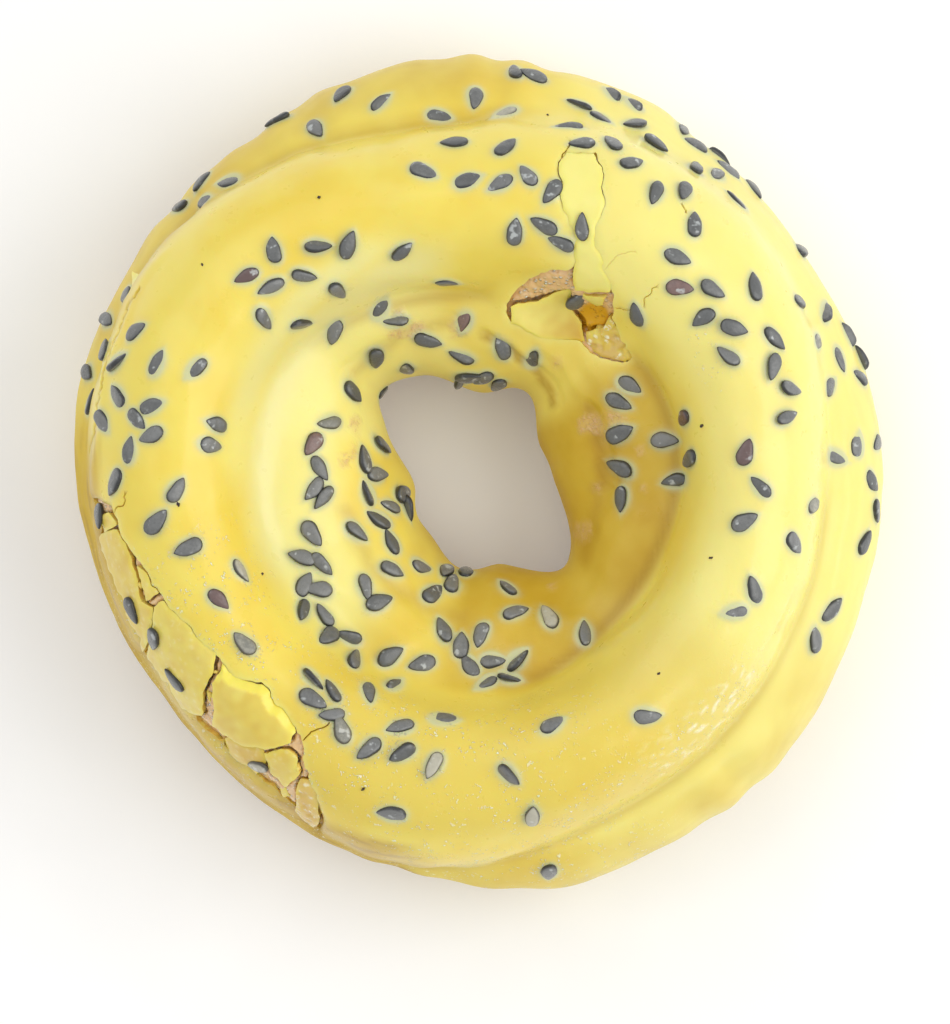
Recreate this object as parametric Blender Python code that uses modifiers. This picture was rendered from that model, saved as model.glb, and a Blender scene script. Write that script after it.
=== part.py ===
"""A ring doughnut in a smooth yellow coat with black sesame, its coat broken open in two places.

The ring lies flat on its bare base, +Z up, with the origin in the middle of the base. Places round the
ring are given as a clock angle (degrees from +X towards +Y) and a radius from the Z axis. Places round
the cross-section are a turn angle (degrees from straight outwards, over the crown, into the hole) seen
from a core point inside the dough.
"""

import math
import random

import bmesh
import bpy
from mathutils import Matrix, Vector
from mathutils.bvhtree import BVHTree

MM = 0.001

# Outlines seen from above, as (clock degrees, radius in mm).
RIM_OUTLINE = (
    (0, 47.0), (20, 46.3), (40, 45.9), (70, 47.4), (97, 48.7), (130, 47.1), (150, 47.5), (170, 47.3),
    (190, 46.0), (215, 44.9), (240, 45.8), (258, 46.6), (275, 48.6), (310, 48.5), (340, 47.5),
)
HOLE_OUTLINE = (
    (0, 8.2), (20, 7.5), (38, 8.3), (60, 10.1), (85, 9.1), (100, 9.5), (120, 12.7), (140, 14.6),
    (152, 11.7), (170, 8.7), (190, 7.6), (208, 7.8), (230, 8.8), (258, 10.5), (282, 10.5), (298, 12.4),
    (312, 14.3), (322, 13.4), (340, 10.7),
)
# The creases where the narrow upper bun meets the wide lower one.
OUTER_CREASE = (
    (0, 39.8), (30, 42.0), (60, 42.4), (95, 40.0), (120, 42.0), (150, 45.0), (180, 44.8),
    (220, 43.4), (262, 45.2), (290, 42.1), (330, 40.4),
)
INNER_CREASE = (
    (0, 23.0), (30, 22.7), (60, 21.8), (90, 20.7), (120, 22.2), (150, 25.0), (175, 25.5),
    (220, 25.0), (280, 24.8), (310, 23.0), (335, 22.6),
)

# The cross-section.
LOWER_BUN_HALF_HEIGHT = 14.0 * MM
LOWER_BUN_CENTRE_Z = 11.0 * MM
UPPER_BUN_HALF_HEIGHT = 14.0 * MM
UPPER_BUN_CENTRE_Z = 19.6 * MM
UPPER_BUN_FULLNESS = 1.04
CORE_Z = 17.0 * MM
CORE_OUTWARD_SHIFT = 1.5 * MM
CREASE_BLEND = 1.6 * MM
BASE_EDGE_BLEND = 2.0 * MM

# Small unevenness: heights, and how many waves there are round the ring or round the section.
CROWN_WAVE_HEIGHT = 0.5 * MM
CROWN_WAVES = 2
CROWN_SHORT_WAVES = 5
FUNNEL_LUMP_HEIGHT = 0.45 * MM
FUNNEL_LUMPS = 7
FUNNEL_TWIST = 2.9
FUNNEL_STEPS = 3.4

# The coat is a skin that ends in an uneven drip line above the base.
COAT_THICKNESS = 0.9 * MM
DOUGH_GAP = 0.4 * MM
LIP_RELIEF = 0.35 * MM
DRIP_WAVE_DEG = 3.0
DRIP_WAVES = 5
DRIP_SHORT_WAVES = 11
RING_STEPS = 60
COAT_TURNS = (-47, -36, -20, -3, 12, 24, 38, 56, 74, 92, 110, 125, 138, 154, 174, 194, 213)
BASE_TURNS = (234, 256, 284, 303)
CRUSH_DEPTH = 1.1 * MM
FLANK_CRUSH = {"clock": 217, "radius": 40.0 * MM, "along": 19.0 * MM, "across": 5.5 * MM}
SHOULDER_CRUSH = {"clock": 58, "radius": 20.5 * MM, "along": 8.0 * MM, "across": 5.0 * MM}

# Outlines of the two breaks and of the loose pieces of coat in them, seen from above, in mm.
FLANK_BREAK = (
    (-44.4, -2.8), (-41.7, -3.6), (-40.9, -6.1), (-39.7, -8.7), (-37.5, -11.4), (-36.0, -14.1),
    (-32.8, -17.3), (-29.7, -20.8), (-27.5, -23.2), (-24.4, -23.8), (-22.2, -26.9), (-19.8, -30.0),
    (-20.1, -31.5), (-19.0, -35.2), (-17.6, -39.6), (-18.2, -41.3), (-20.8, -38.8), (-24.2, -35.5),
    (-27.9, -32.6), (-32.0, -28.3), (-34.8, -25.0), (-37.9, -21.6), (-40.6, -14.3), (-43.0, -8.7),
)
SHOULDER_BREAK = (
    (3.1, 18.3), (3.7, 19.6), (4.8, 21.4), (8.3, 22.8), (10.6, 23.1), (11.1, 26.3), (9.1, 31.6),
    (9.2, 35.2), (10.0, 36.4), (13.3, 36.4), (14.2, 33.9), (14.2, 30.9), (13.1, 26.3), (14.1, 22.0),
    (15.5, 19.8), (15.4, 17.7), (16.1, 15.4), (17.8, 13.1), (16.6, 12.6), (13.8, 13.4), (12.1, 14.4),
    (11.5, 15.0), (7.1, 15.3), (5.1, 16.4), (3.9, 17.0),
)
# Each piece: name, sink in mm, lean towards the hole in degrees, lean along the ring, outline in mm.
COAT_PIECES = (
    ("flank_plate_1", 0.2, 3.0, 0.0, (
        (-43.6, -5.2), (-41.9, -4.7), (-41.3, -6.3), (-42.8, -6.8))),
    ("flank_plate_2", 0.3, -3.0, 1.0, (
        (-42.6, -7.1), (-41.2, -6.9), (-40.0, -9.4), (-39.1, -12.2), (-38.7, -14.5), (-37.2, -15.3),
        (-37.2, -17.0), (-38.0, -19.6), (-40.4, -14.3), (-42.7, -8.7))),
    ("flank_plate_3", 0.5, 5.0, 0.0, (
        (-38.9, -10.6), (-37.7, -11.8), (-36.6, -13.7), (-37.9, -14.1), (-38.5, -12.2))),
    ("flank_plate_4", 0.45, -3.0, 1.5, (
        (-36.8, -15.2), (-35.5, -15.2), (-34.1, -16.6), (-32.4, -18.5), (-30.3, -20.9), (-30.6, -22.4),
        (-31.5, -24.8), (-31.8, -27.3), (-33.1, -27.3), (-34.8, -24.9), (-37.4, -20.9), (-36.8, -16.8))),
    ("flank_plate_5", 0.3, 3.5, -1.5, (
        (-29.1, -21.7), (-27.5, -23.4), (-24.4, -24.2), (-22.4, -26.9), (-20.5, -29.2), (-21.0, -30.3),
        (-23.2, -31.3), (-26.2, -31.2), (-29.1, -30.0), (-30.2, -28.9), (-29.9, -26.2), (-30.0, -23.7))),
    ("flank_plate_6", 0.6, -4.0, 0.0, (
        (-28.9, -30.7), (-26.2, -31.7), (-24.9, -31.9), (-24.7, -33.9), (-25.4, -34.2), (-28.4, -31.9))),
    ("flank_plate_7", 0.4, 5.0, 3.0, (
        (-24.2, -31.9), (-21.6, -31.5), (-20.6, -32.5), (-20.5, -34.2), (-22.2, -35.9), (-23.9, -34.2))),
    ("flank_plate_8", 0.4, -2.0, -2.0, (
        (-20.3, -35.6), (-19.4, -35.8), (-18.5, -39.3), (-18.8, -40.4), (-20.5, -38.5))),
    ("shoulder_sliver", -0.1, 0.0, 1.0, (
        (10.2, 35.9), (9.6, 35.0), (9.6, 31.6), (11.5, 26.3), (11.2, 23.3), (11.8, 21.9), (13.8, 21.9),
        (12.7, 26.3), (13.8, 30.9), (13.8, 33.8), (12.9, 35.9))),
    ("shoulder_flake_1", 0.5, 6.0, 2.0, (
        (3.9, 19.0), (6.8, 20.0), (9.9, 20.7), (9.8, 18.4), (11.4, 16.6), (11.4, 15.5), (7.1, 15.8),
        (5.3, 16.7), (4.1, 17.4))),
    ("shoulder_flake_2", 0.55, -5.0, -2.0, (
        (12.2, 16.1), (14.0, 16.3), (15.0, 17.3), (15.9, 15.2), (17.4, 13.3), (16.6, 12.9), (13.8, 13.7),
        (12.2, 14.7))),
)
PIECE_INSET = 0.25
WELD_DISTANCE = 0.02 * MM
CUT_FLOOR_Z = 11.5 * MM
CUT_TOP_Z = 40.0 * MM

# Sesame lies in short arcs: (clock from, clock to, radius in mm, seeds, spread in mm).
SESAME_ON_RIM = (
    (350, 364, 45.6, 4, 0.5), (3, 5, 42.0, 2, 1.3), (14, 21, 45.6, 3, 0.4), (14, 28, 42.3, 5, 1.2),
    (35, 46, 45.4, 2, 0.3), (50, 59, 45.6, 4, 0.4), (47, 55, 43.3, 3, 0.7), (62, 75, 43.3, 4, 0.6),
    (67, 71, 46.0, 2, 0.2), (82, 85, 46.2, 2, 0.2), (86, 96, 41.8, 3, 1.2), (104, 120, 45.2, 4, 1.6),
    (131, 138, 45.2, 4, 1.2), (153, 170, 45.7, 5, 0.7), (158, 172, 42.3, 4, 0.6), (182, 187, 42.0, 2, 1.5),
    (279, 281, 46.4, 1, 0.0), (334, 339, 43.1, 2, 0.2),
)
SESAME_ON_CROWN = (
    (10, 24, 36.1, 4, 0.7), (25, 47, 32.3, 6, 1.4), (33, 34, 33.5, 2, 4.6), (350, 364, 31.2, 3, 1.0),
    (347, 355, 37.3, 2, 1.0), (331, 337, 33.4, 2, 0.5), (49, 58, 38.3, 3, 1.1), (64, 76, 39.8, 4, 0.8),
    (64, 66, 34.6, 1, 0.0), (75, 86, 33.4, 3, 1.0), (85, 94, 37.3, 2, 0.3), (70, 81, 28.3, 3, 1.0),
    (92, 100, 33.8, 2, 0.8), (108, 109, 26.6, 1, 0.0), (119, 144, 30.5, 5, 0.9), (132, 140, 34.2, 2, 0.1),
    (127, 140, 26.2, 2, 0.1), (160, 162, 35.6, 3, 2.6), (168, 176, 38.2, 4, 1.1), (169, 174, 30.3, 2, 0.2),
    (183, 194, 35.5, 3, 1.6), (202, 206, 31.2, 2, 2.0), (216, 223, 33.5, 2, 1.0), (231, 239, 30.9, 4, 1.2),
    (242, 261, 33.2, 4, 0.4), (244, 262, 29.0, 3, 1.2), (255, 257, 39.7, 1, 0.0), (276, 279, 36.9, 2, 3.4),
    (286, 287, 29.7, 1, 0.0), (304, 305, 33.4, 1, 0.0),
)
SESAME_IN_FUNNEL = (
    (213, 236, 24.5, 6, 1.1), (245, 253, 24.6, 3, 1.8), (200, 216, 21.4, 4, 1.3), (268, 282, 22.8, 5, 1.2),
    (258, 278, 19.1, 4, 0.8), (284, 285, 15.2, 2, 1.7), (296, 304, 20.2, 2, 1.7), (225, 232, 18.4, 2, 0.1),
    (181, 189, 18.4, 3, 0.8), (161, 178, 18.6, 3, 0.6), (164, 190, 12.3, 4, 0.8), (205, 208, 13.8, 4, 1.5),
    (196, 206, 9.8, 3, 1.0), (218, 249, 13.6, 4, 1.4), (252, 263, 12.4, 3, 0.9), (111, 119, 18.2, 2, 1.7),
    (124, 147, 16.2, 4, 1.4), (95, 101, 12.4, 3, 1.8), (95, 99, 19.5, 2, 2.4), (120, 135, 22.6, 2, 0.5),
    (78, 87, 10.8, 2, 0.3), (64, 80, 15.6, 3, 1.2), (27, 30, 19.2, 2, 1.3), (2, 16, 16.5, 2, 0.4),
    (359, 375, 23.1, 4, 1.5), (350, 358, 19.6, 2, 3.2), (44, 45, 25.5, 1, 0.0), (81, 82, 20.9, 1, 0.0),
)
SESAME_SEED = 11
SESAME_LENGTH = 3.2 * MM
SESAME_WIDTH = 1.9 * MM
SESAME_THICKNESS = 0.95 * MM
SESAME_TAPER = 0.38
SESAME_PROUD = 0.12 * MM
SESAME_SPACING = 2.7 * MM
SESAME_EDGE_MARGIN = 2.2 * MM
KEEP_EVERY = 2

COAT_YELLOW = (0.86, 0.70, 0.14)
PIECE_YELLOW = (0.90, 0.77, 0.24)
DOUGH_BROWN = (0.50, 0.30, 0.12)


def station(stations, index):
    """One (clock, value) station of a closed outline, whatever the turn."""
    turns, place = divmod(index, len(stations))
    clock, value = stations[place]
    return clock + 360.0 * turns, value


def around(stations, clock):
    """Smooth closed curve through the stations, read at one clock angle, in metres."""
    clock %= 360.0
    right = sum(1 for angle, _ in stations if angle <= clock)
    before, left, here, after = (station(stations, right + step) for step in (-2, -1, 0, 1))
    span = here[0] - left[0]
    t = (clock - left[0]) / span
    slope_left = (here[1] - before[1]) / (here[0] - before[0]) * span
    slope_here = (after[1] - left[1]) / (after[0] - left[0]) * span
    ease = t * t * (3.0 - 2.0 * t)
    lean = t * (1.0 - t) * ((1.0 - t) * slope_left - t * slope_here)
    return (left[1] + (here[1] - left[1]) * ease + lean) * MM


def smooth_max(first, second, blend):
    """The larger of two lengths, with a fillet where they are alike."""
    share = min(max(0.5 + 0.5 * (first - second) / blend, 0.0), 1.0)
    return second + (first - second) * share + blend * share * (1.0 - share)


def ellipse_reach(offset_out, offset_up, half_width, half_height, out, up):
    """Distance from a point inside an ellipse to its edge along the direction (out, up)."""
    square = (out / half_width) ** 2 + (up / half_height) ** 2
    cross = offset_out * out / half_width ** 2 + offset_up * up / half_height ** 2
    inside = 1.0 - (offset_out / half_width) ** 2 - (offset_up / half_height) ** 2
    return (math.sqrt(cross * cross + square * inside) - cross) / square


def core_radius(clock):
    """Radius of the core point that the cross-section is drawn about."""
    middle = (around(RIM_OUTLINE, clock) + around(HOLE_OUTLINE, clock)) / 2.0
    return middle + CORE_OUTWARD_SHIFT


def relief(clock, turn):
    """Small unevenness of the surface: waves along the crown and lumps down the funnel."""
    angle = math.radians(clock)
    round_section = math.radians(turn)
    up = max(math.sin(round_section), 0.0)
    into_hole = max(-math.cos(round_section), 0.0)
    crown = math.sin(CROWN_WAVES * angle) + 0.5 * math.sin(CROWN_SHORT_WAVES * angle + 2.0)
    lumps = math.sin(FUNNEL_LUMPS * angle + FUNNEL_TWIST * round_section)
    lumps *= math.cos(FUNNEL_STEPS * round_section)
    return CROWN_WAVE_HEIGHT * up * crown + FUNNEL_LUMP_HEIGHT * into_hole * lumps


def skin_point(clock, turn):
    """A point on the outside of the coat."""
    rim = around(RIM_OUTLINE, clock)
    hole = around(HOLE_OUTLINE, clock)
    outer_crease = around(OUTER_CREASE, clock)
    inner_crease = around(INNER_CREASE, clock)
    core = core_radius(clock)
    out = math.cos(math.radians(turn))
    up = math.sin(math.radians(turn))
    lower = ellipse_reach(
        core - (rim + hole) / 2.0, CORE_Z - LOWER_BUN_CENTRE_Z,
        (rim - hole) / 2.0, LOWER_BUN_HALF_HEIGHT, out, up)
    upper = ellipse_reach(
        core - (outer_crease + inner_crease) / 2.0, CORE_Z - UPPER_BUN_CENTRE_Z,
        (outer_crease - inner_crease) / 2.0 * UPPER_BUN_FULLNESS, UPPER_BUN_HALF_HEIGHT, out, up)
    reach = smooth_max(lower, upper, CREASE_BLEND) + relief(clock, turn)
    if up < 0.0:
        to_floor = CORE_Z / -up
        reach = -smooth_max(-reach, -to_floor, BASE_EDGE_BLEND)
    radius = core + reach * out
    angle = math.radians(clock)
    return Vector((radius * math.cos(angle), radius * math.sin(angle), CORE_Z + reach * up))


def drip(clock):
    """How far the coat's edge wanders up and down the flank, in degrees of turn."""
    angle = math.radians(clock)
    long_wave = math.sin(DRIP_WAVES * angle + 1.0)
    short_wave = math.sin(DRIP_SHORT_WAVES * angle)
    return DRIP_WAVE_DEG * (0.6 * long_wave + 0.4 * short_wave)


def turns_at(clock):
    """Turn angles of all rows at one clock angle, the coat's rows first."""
    wander = drip(clock)
    coat = list(COAT_TURNS)
    coat[0] += wander
    coat[-1] += wander
    return coat + list(BASE_TURNS)


def crush(point):
    """How far the dough is pressed in under the broken coat."""
    total = 0.0
    for zone in (FLANK_CRUSH, SHOULDER_CRUSH):
        clock = math.radians(zone["clock"])
        outwards = Vector((math.cos(clock), math.sin(clock)))
        along = Vector((-outwards.y, outwards.x))
        plan = Vector((point.x, point.y))
        turned = math.atan2(plan.dot(along), plan.dot(outwards)) * zone["radius"]
        inwards = plan.length - zone["radius"]
        spread = (turned / zone["along"]) ** 4 + (inwards / zone["across"]) ** 4
        if point.z > CUT_FLOOR_Z:
            total += CRUSH_DEPTH * math.exp(-spread / 2.0)
    return total


def new_object(name, mesh, collection):
    """Wrap a mesh in an object of the same name and link it."""
    obj = bpy.data.objects.new(name, mesh)
    collection.objects.link(obj)
    return obj


def material(name, colour, roughness):
    """A plain Principled BSDF of one colour."""
    made = bpy.data.materials.new(name)
    made.use_nodes = True
    shader = made.node_tree.nodes["Principled BSDF"]
    shader.inputs["Base Color"].default_value = (*colour, 1.0)
    shader.inputs["Roughness"].default_value = roughness
    shader.inputs["Metallic"].default_value = 0.0
    return made


def ring_mesh(name, rows, closed):
    """A torus-like sheet of triangles through rows of skin points, one row list per clock step."""
    mesh = bpy.data.meshes.new(name)
    shape = bmesh.new()
    count = len(rows[0])
    verts = [[shape.verts.new(point) for point in row] for row in rows]
    bands = count if closed else count - 1
    for step in range(len(rows)):
        here = verts[step]
        beyond = verts[(step + 1) % len(rows)]
        for band in range(bands):
            over = (band + 1) % count
            shape.faces.new((here[band], beyond[band], beyond[over]))
            shape.faces.new((here[band], beyond[over], here[over]))
    bmesh.ops.recalc_face_normals(shape, faces=shape.faces)
    shape.to_mesh(mesh)
    shape.free()
    return mesh


def skin_rows():
    """Skin points of the whole ring, row by row."""
    clocks = [360.0 * step / RING_STEPS for step in range(RING_STEPS)]
    return [[skin_point(clock, turn) for turn in turns_at(clock)] for clock in clocks]


def make_dough(collection):
    """The fried ring: full size at its bare base, one coat and a gap smaller elsewhere."""
    mesh = ring_mesh("dough", skin_rows(), closed=True)
    normals = [vertex.normal.copy() for vertex in mesh.vertices]
    rows = len(COAT_TURNS) + len(BASE_TURNS)
    lips = (0, len(COAT_TURNS) - 1)
    for index, vertex in enumerate(mesh.vertices):
        row = index % rows
        if row < len(COAT_TURNS):
            inset = COAT_THICKNESS + DOUGH_GAP + crush(vertex.co)
            if row in lips:
                inset += LIP_RELIEF
            vertex.co = vertex.co - normals[index] * inset
    mesh.shade_smooth()
    mesh.materials.append(material("fried_dough", DOUGH_BROWN, 0.6))
    new_object("dough", mesh, collection)


def make_coat(name, collection):
    """The whole unbroken coat: an open skin with thickness."""
    count = len(COAT_TURNS)
    rows = [row[:count] for row in skin_rows()]
    coat = new_object(name, ring_mesh(name, rows, closed=False), collection)
    shell = coat.modifiers.new("thickness", "SOLIDIFY")
    shell.thickness = COAT_THICKNESS
    shell.offset = -1.0
    return coat


def make_prism(name, outline, collection):
    """An upright prism over a flat outline in mm, from inside the dough to above the crown."""
    curve = bpy.data.curves.new(name, "CURVE")
    curve.dimensions = "2D"
    curve.fill_mode = "BOTH"
    curve.extrude = (CUT_TOP_Z - CUT_FLOOR_Z) / 2.0
    spline = curve.splines.new("POLY")
    spline.points.add(len(outline) - 1)
    for point, (x, y) in zip(spline.points, outline):
        point.co = (x * MM, y * MM, 0.0, 1.0)
    spline.use_cyclic_u = True
    drawn = new_object(name + "_outline", curve, collection)
    drawn.location.z = (CUT_TOP_Z + CUT_FLOOR_Z) / 2.0
    bpy.context.view_layer.update()
    solid = bpy.data.meshes.new_from_object(drawn.evaluated_get(bpy.context.evaluated_depsgraph_get()))
    shape = bmesh.new()
    shape.from_mesh(solid)
    bmesh.ops.remove_doubles(shape, verts=shape.verts, dist=WELD_DISTANCE)
    bmesh.ops.recalc_face_normals(shape, faces=shape.faces)
    shape.to_mesh(solid)
    shape.free()
    prism = new_object(name, solid, collection)
    prism.matrix_world = drawn.matrix_world.copy()
    prism.hide_render = True
    prism.display_type = "WIRE"
    bpy.data.objects.remove(drawn)
    return prism


def add_boolean(obj, cutter, operation):
    """Cut or clip an object by another one."""
    cut = obj.modifiers.new(operation.lower(), "BOOLEAN")
    cut.operation = operation
    cut.object = cutter
    cut.solver = "EXACT"
    return cut


def bake(obj):
    """Replace an object's mesh by its evaluated one and drop its modifiers."""
    bpy.context.view_layer.update()
    evaluated = obj.evaluated_get(bpy.context.evaluated_depsgraph_get())
    obj.data = bpy.data.meshes.new_from_object(evaluated)
    obj.data.name = obj.name
    obj.modifiers.clear()


def weld(mesh):
    """Close the hairline seams that a Boolean leaves and split all faces into triangles."""
    shape = bmesh.new()
    shape.from_mesh(mesh)
    bmesh.ops.remove_doubles(shape, verts=shape.verts, dist=WELD_DISTANCE)
    bmesh.ops.dissolve_degenerate(shape, edges=shape.edges, dist=WELD_DISTANCE)
    bmesh.ops.triangulate(shape, faces=shape.faces)
    shape.to_mesh(mesh)
    shape.free()


def keep_main_shell(mesh):
    """Drop loose scraps and fill sealed hollows: only the largest closed surface stays."""
    shape = bmesh.new()
    shape.from_mesh(mesh)
    unseen = set(shape.faces)
    shells = []
    while unseen:
        edge_of_shell = [unseen.pop()]
        shell = list(edge_of_shell)
        while edge_of_shell:
            face = edge_of_shell.pop()
            for neighbour in {other for edge in face.edges for other in edge.link_faces} & unseen:
                unseen.discard(neighbour)
                edge_of_shell.append(neighbour)
                shell.append(neighbour)
        shells.append(shell)
    shells.sort(key=len)
    scraps = [face for shell in shells[:-1] for face in shell]
    bmesh.ops.delete(shape, geom=scraps, context="FACES")
    shape.to_mesh(mesh)
    shape.free()


def shrunk(outline, inset):
    """An outline drawn in on all sides by the inset, both in mm."""
    count = len(outline)
    turned = sum(
        outline[i][0] * outline[(i + 1) % count][1] - outline[(i + 1) % count][0] * outline[i][1]
        for i in range(count))
    inside = 1.0 if turned > 0.0 else -1.0
    result = []
    for index, corner in enumerate(outline):
        here = Vector(corner)
        to_last = (here - Vector(outline[index - 1])).normalized()
        to_next = (Vector(outline[(index + 1) % count]) - here).normalized()
        side = Vector((-(to_last.y + to_next.y), to_last.x + to_next.x)).normalized() * inside
        result.append(tuple(here + side * inset))
    return result


def make_piece(name, sink, lean_in, lean_along, outline, parts, cutters):
    """One broken-off piece of coat, clipped from a whole coat and left a little askew."""
    piece = make_coat(name, parts)
    prism = make_prism(name + "_cutter", shrunk(outline, PIECE_INSET), cutters)
    add_boolean(piece, prism, "INTERSECT")
    bake(piece)
    bpy.data.objects.remove(prism)
    weld(piece.data)
    middle = sum((vertex.co for vertex in piece.data.vertices), Vector()) / len(piece.data.vertices)
    outwards = Vector((middle.x, middle.y, 0.0)).normalized()
    along = Vector((-outwards.y, outwards.x, 0.0))
    tilt = Matrix.Rotation(math.radians(lean_in), 4, along)
    tilt = Matrix.Rotation(math.radians(lean_along), 4, outwards) @ tilt
    normal = sum((face.normal * face.area for face in piece.data.polygons if face.normal.z > 0.3), Vector())
    shift = Matrix.Translation(normal.normalized() * -sink * MM)
    piece.data.transform(Matrix.Translation(middle) @ shift @ tilt @ Matrix.Translation(-middle))
    piece.data.materials.append(material(name, PIECE_YELLOW, 0.35))
    return piece


def distance_to_outline(x, y, outline):
    """Distance in mm from a plan point to a closed outline, negative inside it."""
    nearest = math.inf
    inside = False
    for index, (end_x, end_y) in enumerate(outline):
        start_x, start_y = outline[index - 1]
        run_x = end_x - start_x
        run_y = end_y - start_y
        share = ((x - start_x) * run_x + (y - start_y) * run_y) / (run_x * run_x + run_y * run_y)
        share = min(max(share, 0.0), 1.0)
        nearest = min(nearest, math.hypot(x - start_x - share * run_x, y - start_y - share * run_y))
        if (start_y > y) != (end_y > y) and x < start_x + (y - start_y) / run_y * run_x:
            inside = not inside
    return -nearest if inside else nearest


def sesame_places():
    """Plan positions of all seeds as (x, y, heading), evenly spaced with jitter along their arcs."""
    draw = random.Random(SESAME_SEED)
    places = []
    for start, end, radius, count, spread in SESAME_ON_RIM + SESAME_ON_CROWN + SESAME_IN_FUNNEL:
        for index in range(count):
            share = index / (count - 1) if count > 1 else 0.5
            clock = start + (end - start) * share + draw.uniform(-0.6, 0.6)
            side = 1.0 if index % 2 else -1.0
            away = radius + side * spread * draw.uniform(0.6, 1.1)
            heading = draw.uniform(0.0, 2.0 * math.pi)
            angle = math.radians(clock)
            places.append((away * MM * math.cos(angle), away * MM * math.sin(angle), heading))
    return places


def make_seed_mesh():
    """One sesame seed: a flat teardrop along X with few sides."""
    mesh = bpy.data.meshes.new("sesame")
    shape = bmesh.new()
    bmesh.ops.create_uvsphere(shape, u_segments=6, v_segments=4, radius=1.0)
    for vertex in shape.verts:
        along = vertex.co.z
        girth = 1.0 - SESAME_TAPER * along
        vertex.co = Vector((
            along * SESAME_LENGTH / 2.0,
            vertex.co.x * girth * SESAME_WIDTH / 2.0,
            vertex.co.y * girth * SESAME_THICKNESS / 2.0))
    bmesh.ops.recalc_face_normals(shape, faces=shape.faces)
    shape.to_mesh(mesh)
    shape.free()
    return mesh


def scatter_seeds(coat, seeds):
    """Lay every second seed of each arc on the coat, clear of the breaks and of each other."""
    bpy.context.view_layer.update()
    surface = BVHTree.FromObject(coat, bpy.context.evaluated_depsgraph_get())
    mesh = make_seed_mesh()
    laid = []
    for x, y, heading in sesame_places()[::KEEP_EVERY]:
        margin = min(
            distance_to_outline(x / MM, y / MM, outline) for outline in (FLANK_BREAK, SHOULDER_BREAK))
        place, normal, _, _ = surface.ray_cast(Vector((x, y, CUT_TOP_Z)), Vector((0.0, 0.0, -1.0)))
        if place is None or margin * MM < SESAME_EDGE_MARGIN:
            continue
        if any((place - other).length < SESAME_SPACING for other in laid):
            continue
        laid.append(place)
        seed = new_object(f"sesame_{len(laid):03d}", mesh, seeds)
        lie_flat = normal.to_track_quat("Z", "Y").to_matrix().to_4x4()
        spin = Matrix.Rotation(heading, 4, "Z")
        seed.matrix_world = Matrix.Translation(place + normal * SESAME_PROUD) @ lie_flat @ spin


def fuse_seeds(coat, seeds):
    """One union of the coat with the whole collection of seeds, which then goes."""
    joined = coat.modifiers.new("seeds", "BOOLEAN")
    joined.operation = "UNION"
    joined.operand_type = "COLLECTION"
    joined.collection = seeds
    joined.solver = "EXACT"
    bake(coat)
    weld(coat.data)
    keep_main_shell(coat.data)
    for seed in list(seeds.objects):
        bpy.data.objects.remove(seed)
    bpy.data.collections.remove(seeds)


def main():
    """Build the doughnut: dough, broken coat with its seeds, and the loose pieces of coat."""
    for obj in list(bpy.data.objects):
        bpy.data.objects.remove(obj)
    parts = bpy.data.collections.new("sesame_doughnut")
    cutters = bpy.data.collections.new("cutters")
    seeds = bpy.data.collections.new("seeds")
    for collection in (parts, cutters, seeds):
        bpy.context.scene.collection.children.link(collection)

    make_dough(parts)
    coat = make_coat("coating", parts)
    for name, outline in (("flank_break", FLANK_BREAK), ("shoulder_break", SHOULDER_BREAK)):
        add_boolean(coat, make_prism(name, outline, cutters), "DIFFERENCE")
    bake(coat)
    weld(coat.data)
    for cutter in list(cutters.objects):
        bpy.data.objects.remove(cutter)
    scatter_seeds(coat, seeds)
    fuse_seeds(coat, seeds)
    coat.data.materials.append(material("yellow_coat", COAT_YELLOW, 0.3))
    for piece in COAT_PIECES:
        make_piece(*piece, parts, cutters)
    bpy.data.collections.remove(cutters)


main()
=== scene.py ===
"""Looks of a coated ring doughnut with black sesame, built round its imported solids.

The yellow coat, the broken pieces of coat, the dough and the sesame are fine meshes that stand for the
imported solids. Lengths are millimetres until a mesh is made. Places round the ring are a clock angle in
degrees (from +X towards +Y), and places round the cross-section are a turn angle in degrees (from
straight outwards, over the crown, into the hole), seen from a core point inside the dough.
"""

import logging
import math
import random
from collections.abc import Iterator
from contextlib import contextmanager
from dataclasses import dataclass, field, replace
from enum import Enum

import bmesh
import bpy
import numpy as np
from mathutils import Matrix, Vector
from mathutils.bvhtree import BVHTree
from mathutils.geometry import delaunay_2d_cdt
from mathutils.kdtree import KDTree


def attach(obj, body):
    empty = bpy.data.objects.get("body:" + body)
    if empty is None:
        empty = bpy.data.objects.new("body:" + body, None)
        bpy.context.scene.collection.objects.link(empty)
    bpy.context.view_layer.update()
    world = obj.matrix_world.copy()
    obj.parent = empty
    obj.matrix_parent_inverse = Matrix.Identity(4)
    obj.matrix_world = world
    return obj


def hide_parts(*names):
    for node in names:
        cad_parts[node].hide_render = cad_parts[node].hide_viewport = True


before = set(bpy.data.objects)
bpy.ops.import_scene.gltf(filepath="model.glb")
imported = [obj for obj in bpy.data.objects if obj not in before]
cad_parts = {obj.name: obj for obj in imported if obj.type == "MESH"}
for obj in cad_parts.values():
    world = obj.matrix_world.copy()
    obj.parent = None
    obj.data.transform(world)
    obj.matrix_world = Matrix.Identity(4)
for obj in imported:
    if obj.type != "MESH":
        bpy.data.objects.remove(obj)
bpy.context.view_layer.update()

MM = 0.001
BODY = "root"
SHARP_ANGLE = 48.0
CHART_SPAN = (-30.0, 200.0)
Pairs = tuple[tuple[float, float], ...]
Colour = tuple[float, float, float]
Array = np.ndarray
Object = bpy.types.Object
Socket = bpy.types.NodeSocket
log = logging.getLogger("doughnut")

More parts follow.
